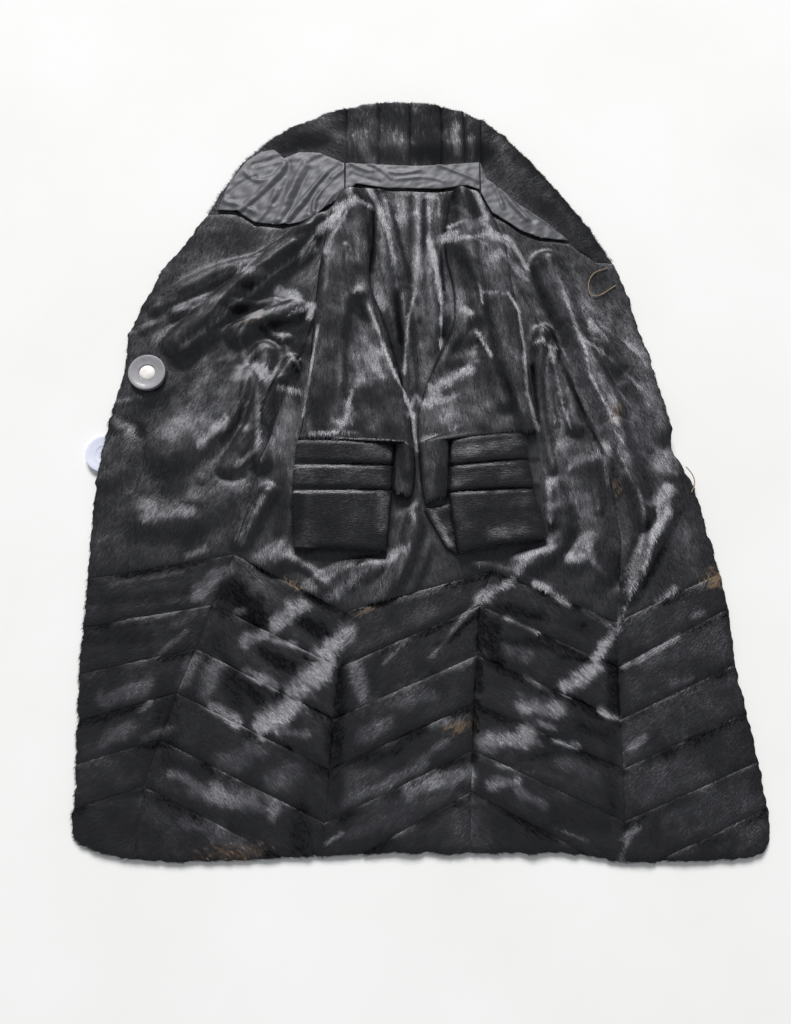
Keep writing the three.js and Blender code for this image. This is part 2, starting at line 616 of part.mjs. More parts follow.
// Room that a cuff takes from the end of its sleeve, whose fullness hangs over only beside its inner
// edge
const pastSleeve = 60;
function cuffRoom(rings, inner) {
  const outer = 1 - inner;
  const innerEdge = [rings[0].top[inner], ...rings.map((ring) => ring.bottom[inner])];
  const [near, far] = [rings[0].top[inner], rings[0].top[outer]];
  const outward = [far[0] + (far[0] - near[0]), far[1] + (far[1] - near[1])];
  const foot = innerEdge[innerEdge.length - 1];
  const low = foot[1] - pastSleeve;
  return [...innerEdge, [foot[0], low], [outward[0], low], outward];
}
const sleeveSides = [
  { name: 'sleeve_left', stations: leftSleeve, room: cuffRoom(leftCuff, 1) },
  { name: 'sleeve_right', stations: rightSleeve, room: cuffRoom(rightCuff, 0) },
];
const sleeveAround = 9;      // faces across a sleeve's upper layer
for (const { name, stations, room } of sleeveSides) {
  const tube = flatTube(stations, sleeveWall, sleeveRelief, sleeveAround, true);
  addPiece(name, geometryOf(tube.subtract(prism(inset(room, -seam)))), furBlack);
}

// Cuffs: three rings of skin each, with a groove between them
const cuffAround = 6;
const cuffRows = [
  { share: 0, full: 0.8 },
  { share: 0.22, full: 1 },
  { share: 0.78, full: 1 },
  { share: 1, full: 0.8 },
];
function cuffRing(ring) {
  const lengthwise = ring.bottom[0][1] - ring.top[0][1];
  const shrink = seam / 2 / Math.abs(lengthwise);
  const stations = cuffRows.map(({ share, full }) => {
    const t = THREE.MathUtils.clamp(share, shrink, 1 - shrink);
    const mix = (k) => [
      ring.top[k][0] + (ring.bottom[k][0] - ring.top[k][0]) * t,
      ring.top[k][1] + (ring.bottom[k][1] - ring.top[k][1]) * t,
    ];
    return { left: mix(0), right: mix(1), bulk: (full * cuffBulk) / sleeveBulk };
  });
  return flatTube(stations, sleeveWall, () => 0, cuffAround, false);
}
[['cuff_left', leftCuff], ['cuff_right', rightCuff]].forEach(([name, rings]) => {
  rings.forEach((ring, i) => addPiece(`${name}_skin_${i + 1}`, geometryOf(cuffRing(ring)), furSheen));
});
const underlapRows = { turn: 0, along: 30, apart: 30 };
const underlapFloor = pelt + layer;
const underlapTop = () => underlapFloor + sleeveWall;
const underlap = panel(cuffUnderlap, underlapRows, underlapTop, sleeveWall, underlapFloor);
addPiece('cuff_right_underlap', geometryOf(underlap), furSheen);

// Buttons: a dished rim with a pearl set in its middle
const rimProfile = [
  [0, 0], [0.9, 0], [1, 0.4], [0.92, 1], [0.8, 1], [0.6, 0.6], [0.46, 0.56], [0.46, 0.34], [0, 0.34],
];
const pearlProfile = [[0, 0.38], [0.44, 0.38], [0.42, 0.66], [0.26, 0.92], [0, 1]];
const buttonSides = 20;
function turned(profile, place) {
  const points = profile.map(([r, z]) => new THREE.Vector2(r * buttonRadius, z * buttonThick));
  const geometry = new THREE.LatheGeometry(points, buttonSides);
  geometry.rotateX(Math.PI / 2);
  geometry.translate(place.x, place.y, place.underside);
  return geometryOf(solidOf(geometry));
}
[['button_upper', upperButton], ['button_lower', lowerButton]].forEach(([name, place]) => {
  addPiece(`${name}_rim`, turned(rimProfile, place), buttonGrey);
  addPiece(`${name}_pearl`, turned(pearlProfile, place), pearlWhite);
});

// Thread loops, sewn down at both ends along the right front's edge
const threadSteps = 3;       // between two of a loop's points
function threadLoop(points) {
  const height = pelt + layer + threadRadius;
  const path = new THREE.CatmullRomCurve3(points.map(([x, y]) => new THREE.Vector3(x, y, height)));
  const section = new THREE.Shape();
  section.absarc(0, 0, threadRadius, 0, 2 * Math.PI);
  const steps = threadSteps * (points.length - 1);
  const thread = { extrudePath: path, steps, curveSegments: 3, bevelEnabled: false };
  return geometryOf(solidOf(new THREE.ExtrudeGeometry(section, thread)));
}
addPiece('button_loop_upper', threadLoop(upperLoop), threadTan);
addPiece('button_loop_lower', threadLoop(lowerLoop), threadTan);

const coat = new THREE.Group();
coat.position.set(boxShift.x, boxShift.y, 0);
for (const { name, geometry, finish } of pieces) {
  const mesh = new THREE.Mesh(geometry, new THREE.MeshStandardMaterial(finish));
  mesh.name = name;
  coat.add(mesh);
}

export default coat;
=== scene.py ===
import math

import bpy
import numpy as np
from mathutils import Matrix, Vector
from mathutils.geometry import delaunay_2d_cdt


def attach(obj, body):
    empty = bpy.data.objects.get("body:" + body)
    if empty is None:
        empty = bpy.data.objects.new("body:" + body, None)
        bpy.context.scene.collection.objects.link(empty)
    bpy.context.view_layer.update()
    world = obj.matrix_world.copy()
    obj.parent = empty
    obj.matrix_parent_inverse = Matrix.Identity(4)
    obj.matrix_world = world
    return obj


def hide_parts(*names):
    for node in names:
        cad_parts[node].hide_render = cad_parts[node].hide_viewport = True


# A woman's black fur coat, laid open on the floor with its fur upwards. The pattern tables are in
# millimetres on the coat's drawing, and metres() brings their points into the scene.
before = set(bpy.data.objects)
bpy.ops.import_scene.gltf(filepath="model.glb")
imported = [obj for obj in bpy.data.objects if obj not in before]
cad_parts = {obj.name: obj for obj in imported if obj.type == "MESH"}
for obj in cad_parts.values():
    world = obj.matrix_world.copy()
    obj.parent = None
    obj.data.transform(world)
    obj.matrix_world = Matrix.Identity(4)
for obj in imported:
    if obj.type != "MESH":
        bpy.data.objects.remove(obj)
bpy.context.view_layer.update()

MM = 0.001
DRAWING_SHIFT = (7.9, -1.2)


def metres(points):
    placed = np.array(points, float)
    placed[:, 0] += DRAWING_SHIFT[0]
    placed[:, 1] += DRAWING_SHIFT[1]
    return placed * MM


# Heights over the floor
PELT_TOP = 8.4            # skin side to where the pile starts to lie
PELT_WALL = 6.5
EDGE_DROP = 4.2           # how far a pelt rounds down at its edge
EDGE_ROUND = 7.0
SKIN_CROWN = 2.2
GROOVE = 5.0
SLEEVE_FLOOR = 10.3       # what lies on the body starts here
SLEEVE_WALL = 8.0
SLEEVE_FULL = 19.8
CUFF_FULL = 20.6
SATIN_FLOOR = 9.3
SATIN_WALL = 1.3

# The coat's edge, from the left hem corner round past the right one and the collar
COAT_EDGE = [
    (-486, -588), (-440, -611), (-361, -620), (-249, -619), (-137, -614), (-25, -610), (88, -610),
    (200, -610), (300, -621), (424, -618), (482, -612), (499, -585), (498, -530), (487, -440),
    (475, -360), (468, -250), (451, -158), (429, -60), (408, -23), (398, 40), (384, 128),
    (364, 195), (347, 268), (307, 354), (247, 444), (171, 538), (115, 589), (46, 616),
    (-20, 624), (-119, 610), (-228, 561), (-288, 508), (-324, 450), (-350, 402), (-379, 354),
    (-414, 306), (-449, 226), (-466, 180), (-466, 130), (-482, 50), (-493, -50), (-498, -110),
    (-498, -240), (-499, -340), (-495, -430), (-490, -530),
]
COLLAR_SEAM = [
    (-520, 402), (-337, 402), (-297, 403), (-266, 381), (-224, 377), (-191, 381), (-161, 399),
    (-118, 436), (-100, 455), (-49, 447), (44, 445), (90, 452), (108, 440), (128, 402),
    (152, 386), (177, 367), (210, 353), (259, 347), (302, 312), (480, 300),
]
LEFT_NECK = 8
RIGHT_NECK = 12
LEFT_SIDE = [COLLAR_SEAM[LEFT_NECK], (-151, 243), (-210, 69), (-248, -63), (-277, -180)]
RIGHT_SIDE = [COLLAR_SEAM[RIGHT_NECK], (173, 261), (261, 76), (303, -47), (315, -158), (300, -283)]

# Zigzag rows of the skirt: where each crosses the six lengthwise seams
SKIRT_ROWS = [
    {"x": (-520, -277, -107, 115, 300, 480), "y": (-222, -180, -268, -205, -283, -200)},
    {"x": (-520, -305, -114, 96, 297, 490), "y": (-295, -257, -350, -258, -350, -252)},
    {"x": (-520, -327, -122, 90, 296, 500), "y": (-365, -322, -425, -332, -426, -332)},
    {"x": (-520, -352, -126, 85, 297, 510), "y": (-434, -387, -496, -402, -494, -402)},
    {"x": (-520, -373, -131, 81, 294, 520), "y": (-497, -453, -568, -468, -566, -472)},
    {"x": (-520, -392, -135, 77, 292, 520), "y": (-560, -518, -640, -525, -638, -538)},
    {"x": (-520, -402, -139, 75, 291, 520), "y": (-640, -640, -712, -640, -706, -640)},
]
SKIRT_COLUMNS = ["front_left", "side_left", "back", "side_right", "front_right"]

# Folds: from, via, to, height, width from crest to foot, half width of a level crest
BODY_FOLDS = [
    ((-378, 160), (-305, 238), (-150, 378), 30, 34, 3),
    ((-415, 231), (-330, 284), (-250, 306), 15, 27, 0),
    ((-389, 222), (-340, 240), (-292, 253), 9, 22, 0),
    ((-285, 180), (-243, 206), (-196, 224), 20, 25, 2),
    ((-240, 150), (-250, 40), (-288, -48), 20, 25, 2),
    ((-196, 130), (-238, 40), (-240, -35), 18, 22, 0),
    ((-390, -15), (-330, 15), (-280, 88), 12, 46, 6),
    ((-415, -125), (-350, -122), (-295, -84), 12, 40, 4),
    ((-228, -84), (-247, -125), (-266, -160), 14, 22, 0),
    ((-490, 8), (-400, 88), (-300, 165), -4, 30, 4),
    ((-488, -20), (-488, -20), (-487, -20), 9.5, 34, 38),
    ((219, 305), (256, 190), (310, 49), 28, 32, 2),
    ((310, 49), (325, -20), (350, -122), 22, 28, 0),
    ((274, 176), (330, 130), (392, 22), 18, 34, 3),
    ((208, 178), (186, 95), (202, -40), 22, 24, 2),
    ((216, 172), (236, 100), (252, 25), 15, 22, 0),
    ((396, -88), (374, -140), (318, -240), 15, 24, 0),
    ((238, -22), (270, -30), (296, -26), 8, 32, 4),
    ((206, -80), (220, -150), (168, -196), 14, 28, 3),
    ((238, -192), (272, -168), (292, -206), 9, 28, 0),
    ((8, -108), (-20, -190), (-54, -258), 15, 27, 0),
    ((-62, -190), (-110, -214), (-158, -248), 15, 28, 2),
    ((-196, -180), (-215, -192), (-240, -212), 14, 28, 3),
    ((-73, 462), (-45, 380), (-24, 281), 14, 22, 0),
    ((-24, 281), (-14, 190), (-8, 90), 12, 20, 0),
    ((27, 420), (24, 330), (34, 160), 13, 22, 0),
]
BODY_CREASES = [
    ((-330, 196), (-280, 262), (-196, 330), 5, 9, 0),
    ((-360, 150), (-300, 190), (-246, 196), 5, 10, 0),
    ((-292, 226), (-262, 232), (-226, 238), 6, 10, 1),
    ((-240, 190), (-222, 176), (-206, 176), 7, 9, 0),
    ((-262, 120), (-274, 60), (-300, 10), 6, 12, 0),
    ((-214, 100), (-228, 70), (-232, 30), 5, 9, 0),
    ((-330, -60), (-300, -30), (-268, 10), 5, 14, 0),
    ((-260, 320), (-222, 344), (-176, 362), 5, 11, 0),
    ((-440, 190), (-390, 214), (-350, 222), 4, 12, 0),
    ((246, 300), (284, 210), (326, 120), 6, 11, 0),
    ((196, 300), (214, 250), (232, 200), 6, 10, 0),
    ((330, 90), (346, 40), (366, -10), 5, 11, 0),
    ((226, 150), (216, 90), (222, 30), 5, 8, 0),
    ((262, 20), (276, -40), (282, -110), 5, 12, 0),
    ((-46, 420), (-30, 350), (-14, 290), 4, 8, 0),
    ((2, 400), (6, 320), (8, 210), 4, 8, 0),
    ((44, 330), (40, 290), (46, 250), 4, 8, 0),
    ((-30, -120), (-66, -180), (-100, -226), 5, 11, 0),
    ((30, -120), (16, -180), (-10, -240), 5, 11, 0),
    ((90, -196), (140, -210), (196, -236), 4, 12, 0),
    ((-180, -196), (-150, -214), (-120, -250), 5, 11, 0),
]
SKIRT_FOLDS = [
    ((-430, -250), (-420, -380), (-440, -560), 3, 44, 4),
    ((-250, -230), (-230, -380), (-250, -560), 4, 40, 0),
    ((-60, -290), (-30, -400), (-20, -580), 4, 44, 0),
    ((160, -260), (180, -400), (170, -580), 4, 40, 0),
    ((390, -230), (400, -380), (410, -580), 4, 44, 0),
]

# Sleeves: left and right edge at each station from shoulder to cuff, and how full it lies there
LEFT_SLEEVE = [
    ((-124, 436), (-72, 442), 0.62), ((-138, 404), (-67, 410), 0.9), ((-150, 340), (-66, 345), 1),
    ((-159, 262), (-72, 270), 1), ((-164, 190), (-48, 200), 1), ((-169, 120), (-28, 130), 1),
    ((-174, 50), (-11, 55), 1), ((-183, 0), (-3, -8), 1),
]
LEFT_OVERHANG = [((-31, -8), (-2, -14), 1), ((-33, -50), (0, -54), 0.9), ((-34, -86), (-7, -92), 0.8)]
RIGHT_SLEEVE = [
    ((66, 441), (108, 436), 0.62), ((56, 400), (128, 396), 0.9), ((50, 335), (150, 340), 1),
    ((64, 255), (160, 262), 1), ((60, 190), (173, 196), 1), ((27, 115), (180, 126), 1),
    ((6, 50), (186, 58), 1), ((3, 3), (191, 13), 1),
]
RIGHT_OVERHANG = [((4, -6), (52, -3), 1), ((7, -55), (51, -48), 0.9), ((14, -101), (49, -94), 0.8)]
SLEEVE_FOLDS = [
    ((-80, 240), (-34, 120), (-2, -50), 13, 26, 2),
    ((-148, 300), (-160, 170), (-166, 60), 8, 26, 4),
    ((-84, 226), (-104, 150), (-112, 40), -7, 20, 3),
    ((-126, 440), (-96, 400), (-84, 300), 9, 22, 2),
    ((84, 200), (40, 140), (8, 60), 13, 24, 2),
    ((88, 330), (106, 210), (140, 60), 14, 24, 2),
    ((140, 300), (168, 170), (186, 30), 9, 22, 2),
    ((96, 180), (72, 140), (48, 112), -8, 20, 4),
    ((70, 440), (84, 400), (88, 350), 9, 22, 2),
    ((-112, 330), (-104, 260), (-92, 200), 4, 9, 0),
    ((-140, 230), (-134, 140), (-138, 60), 4, 12, 0),
    ((-64, 150), (-56, 90), (-40, 20), 4, 10, 0),
    ((112, 330), (122, 240), (150, 140), 4, 9, 0),
    ((96, 120), (90, 70), (104, 20), 4, 12, 0),
    ((40, 90), (36, 40), (42, 0), 4, 10, 0),
]

# Cuffs: three rings each, given by their upper and lower edges
LEFT_CUFF = [
    (((-184, -2), (-33, -5)), ((-188, -43), (-35, -44))),
    (((-188, -43), (-35, -44)), ((-190, -84), (-36, -84))),
    (((-190, -84), (-36, -84)), ((-186, -172), (-44, -178))),
]
RIGHT_CUFF = [
    (((55, 0), (170, 11)), ((53, -45), (175, -34))),
    (((53, -45), (175, -34)), ((51, -87), (181, -81))),
    (((51, -87), (181, -81)), ((63, -181), (200, -157))),
]
CUFF_UNDERLAP = [(13, -110), (50, -103), (62.5, -181), (46, -171)]

SATIN_LEFT = [
    (-330, 408), (-312, 462), (-285, 502), (-260, 521), (-238, 524), (-221, 508), (-195, 520),
    (-160, 518), (-118, 498), (-117, 440), (-161, 402), (-191, 384), (-224, 380), (-266, 384),
    (-297, 406),
]
SATIN_NECK = [
    (-116, 498), (-6, 493), (45, 494), (112, 500), (112, 446), (90, 455), (44, 448), (-49, 450),
    (-98, 458), (-116, 441),
]
SATIN_RIGHT = [
    (113, 499), (125, 466), (179, 418), (219, 386), (258, 350), (210, 356), (177, 370), (152, 389),
    (131, 403), (113, 440),
]
COLLAR_SKINS = [-116, -59, -6, 48, 87, 116]
SATIN_FOLDS = [
    ((-297, 403), (-240, 464), (-220, 497), 4.0, 9, 0),
    ((-290, 400), (-228, 462), (-212, 490), -2.5, 5, 0),
    ((-226, 388), (-205, 451), (-184, 497), 5.0, 11, 0),
    ((-214, 388), (-193, 445), (-176, 485), -2.5, 5, 0),
    ((-236, 420), (-218, 454), (-212, 500), -3.0, 5, 0),
    ((-222, 376), (-182, 432), (-149, 477), 4.5, 8, 0),
    ((-212, 374), (-176, 424), (-142, 466), -3.0, 4, 0),
    ((-176, 404), (-166, 447), (-126, 493), -3.5, 5, 0),
    ((-168, 404), (-158, 443), (-120, 484), 3.0, 6, 0),
    ((-156, 404), (-139, 432), (-114, 451), 3.0, 7, 0),
    ((-181, 497), (-167, 504), (-149, 514), -3.0, 6, 0),
    ((-272, 495), (-250, 501), (-224, 511), -3.5, 6, 0),
    ((-318, 424), (-292, 416), (-269, 405), 3.0, 8, 0),
    ((-264, 384), (-246, 410), (-233, 445), 3.0, 7, 0),
    ((-285, 479), (-265, 464), (-237, 471), 3.0, 7, 0),
    ((-313, 438), (-292, 458), (-268, 471), -2.5, 6, 0),
    ((-109, 500), (-95, 490), (-72, 482), 2.5, 6, 0),
    ((-76, 496), (-60, 488), (-37, 468), 2.5, 6, 0),
    ((-104, 476), (-84, 468), (-60, 462), -2.0, 5, 0),
    ((-52, 484), (-26, 478), (10, 484), 2.2, 6, 0),
    ((-30, 466), (20, 470), (50, 462), 1.8, 5, 0),
    ((40, 496), (84, 476), (112, 462), 2.2, 6, 0),
    ((144, 460), (162, 425), (190, 390), 3.0, 7, 0),
    ((150, 462), (172, 425), (200, 390), -2.5, 5, 0),
    ((173, 450), (191, 422), (227, 382), 3.0, 8, 0),
    ((127, 474), (139, 446), (150, 412), 2.5, 6, 0),
]

UPPER_BUTTON = (-427, 113, 10.3)
LOWER_BUTTON = (-487, -20, 0)
BUTTON_RADIUS = 29.5
BUTTON_THICK = 8
UPPER_LOOP = [(319, 300), (296, 290), (286, 272), (288, 252), (302, 250), (330, 268)]
LOWER_LOOP = [(421, -42), (430, -56), (432, -70), (426, -84)]
THREAD_RADIUS = 1.1

# Places where the dyed pile has worn to its tan: x, y, half length, half width, turn in degrees, how much
WORN = [
    (-186, -226, 15, 5, -32, 1.0),
    (-74, -266, 17, 4, 20, 0.8),
    (452, -217, 16, 13, 20, 1.0),
    (64, -434, 20, 10, 15, 0.5),
    (-262, -608, 44, 12, 5, 0.3),
    (311, 40, 9, 18, -15, 0.6),
    (312, -74, 7, 14, 10, 0.4),
    (-252, 205, 20, 10, 30, 0.4),
]

# Camera, window light and floor, in metres
CAMERA_PLACE = np.array([-0.0231, -0.4457, 1.333])
CAMERA_TILT = math.radians(14)
WINDOW_PLACE = np.array([-2.0, 23.0, 18.5])
WINDOW_SIZE = (13, 10)
WINDOW_POWER = 11000
SKY_STRENGTH = 0.36
FLOOR_SIZE = 24
FLOOR_BELOW = 0.0005

# The photograph's frame, in pixels
PICTURE_HEIGHT = 1024
PICTURE_MIDDLE = (395.5, 512)
FOCAL_PIXELS = 887
SENSOR = 36                # camera sensor in mm, along the picture's height

# How the lie of the pile takes the light
FOLD_SHADING = 0.62        # thick pile rounds off the light and dark of the folds beneath it,
EDGE_SHADING = 0.55        # of the rounding along the seams between pelts,
COLLAR_SHADING = 0.3       # of the collar's rolled edge
FLAT_PILE_SHADING = 0.5    # and of the flattest pelts, for their hairs
UPPER_LEAN = 0.13          # the pile of the upper half lies away from the window,
UPPER_REACH = (0, 450)     # fully so from the second of these heights on the drawing
SHINE_PULL = 0.78          # how far a stroke of strength 1 turns the pile to where it shines
DULL_PULL = 0.95           # and one of strength -1 away from there
STROKE_FADE = (0.25, 1.4)  # a stroke fades out between these shares of its half width
# Painted shadow: each skirt row is darkened just below the row above, as if in its shadow.
ROW_SHADOW_BAND = (3, 15)     # each row of the skirt is darkened this far below the row above it
LEAN_ALONG = 0.35          # how much of the pile's waywardness along the nap, and across it,
LEAN_ACROSS = 0.3          # shows in its shading
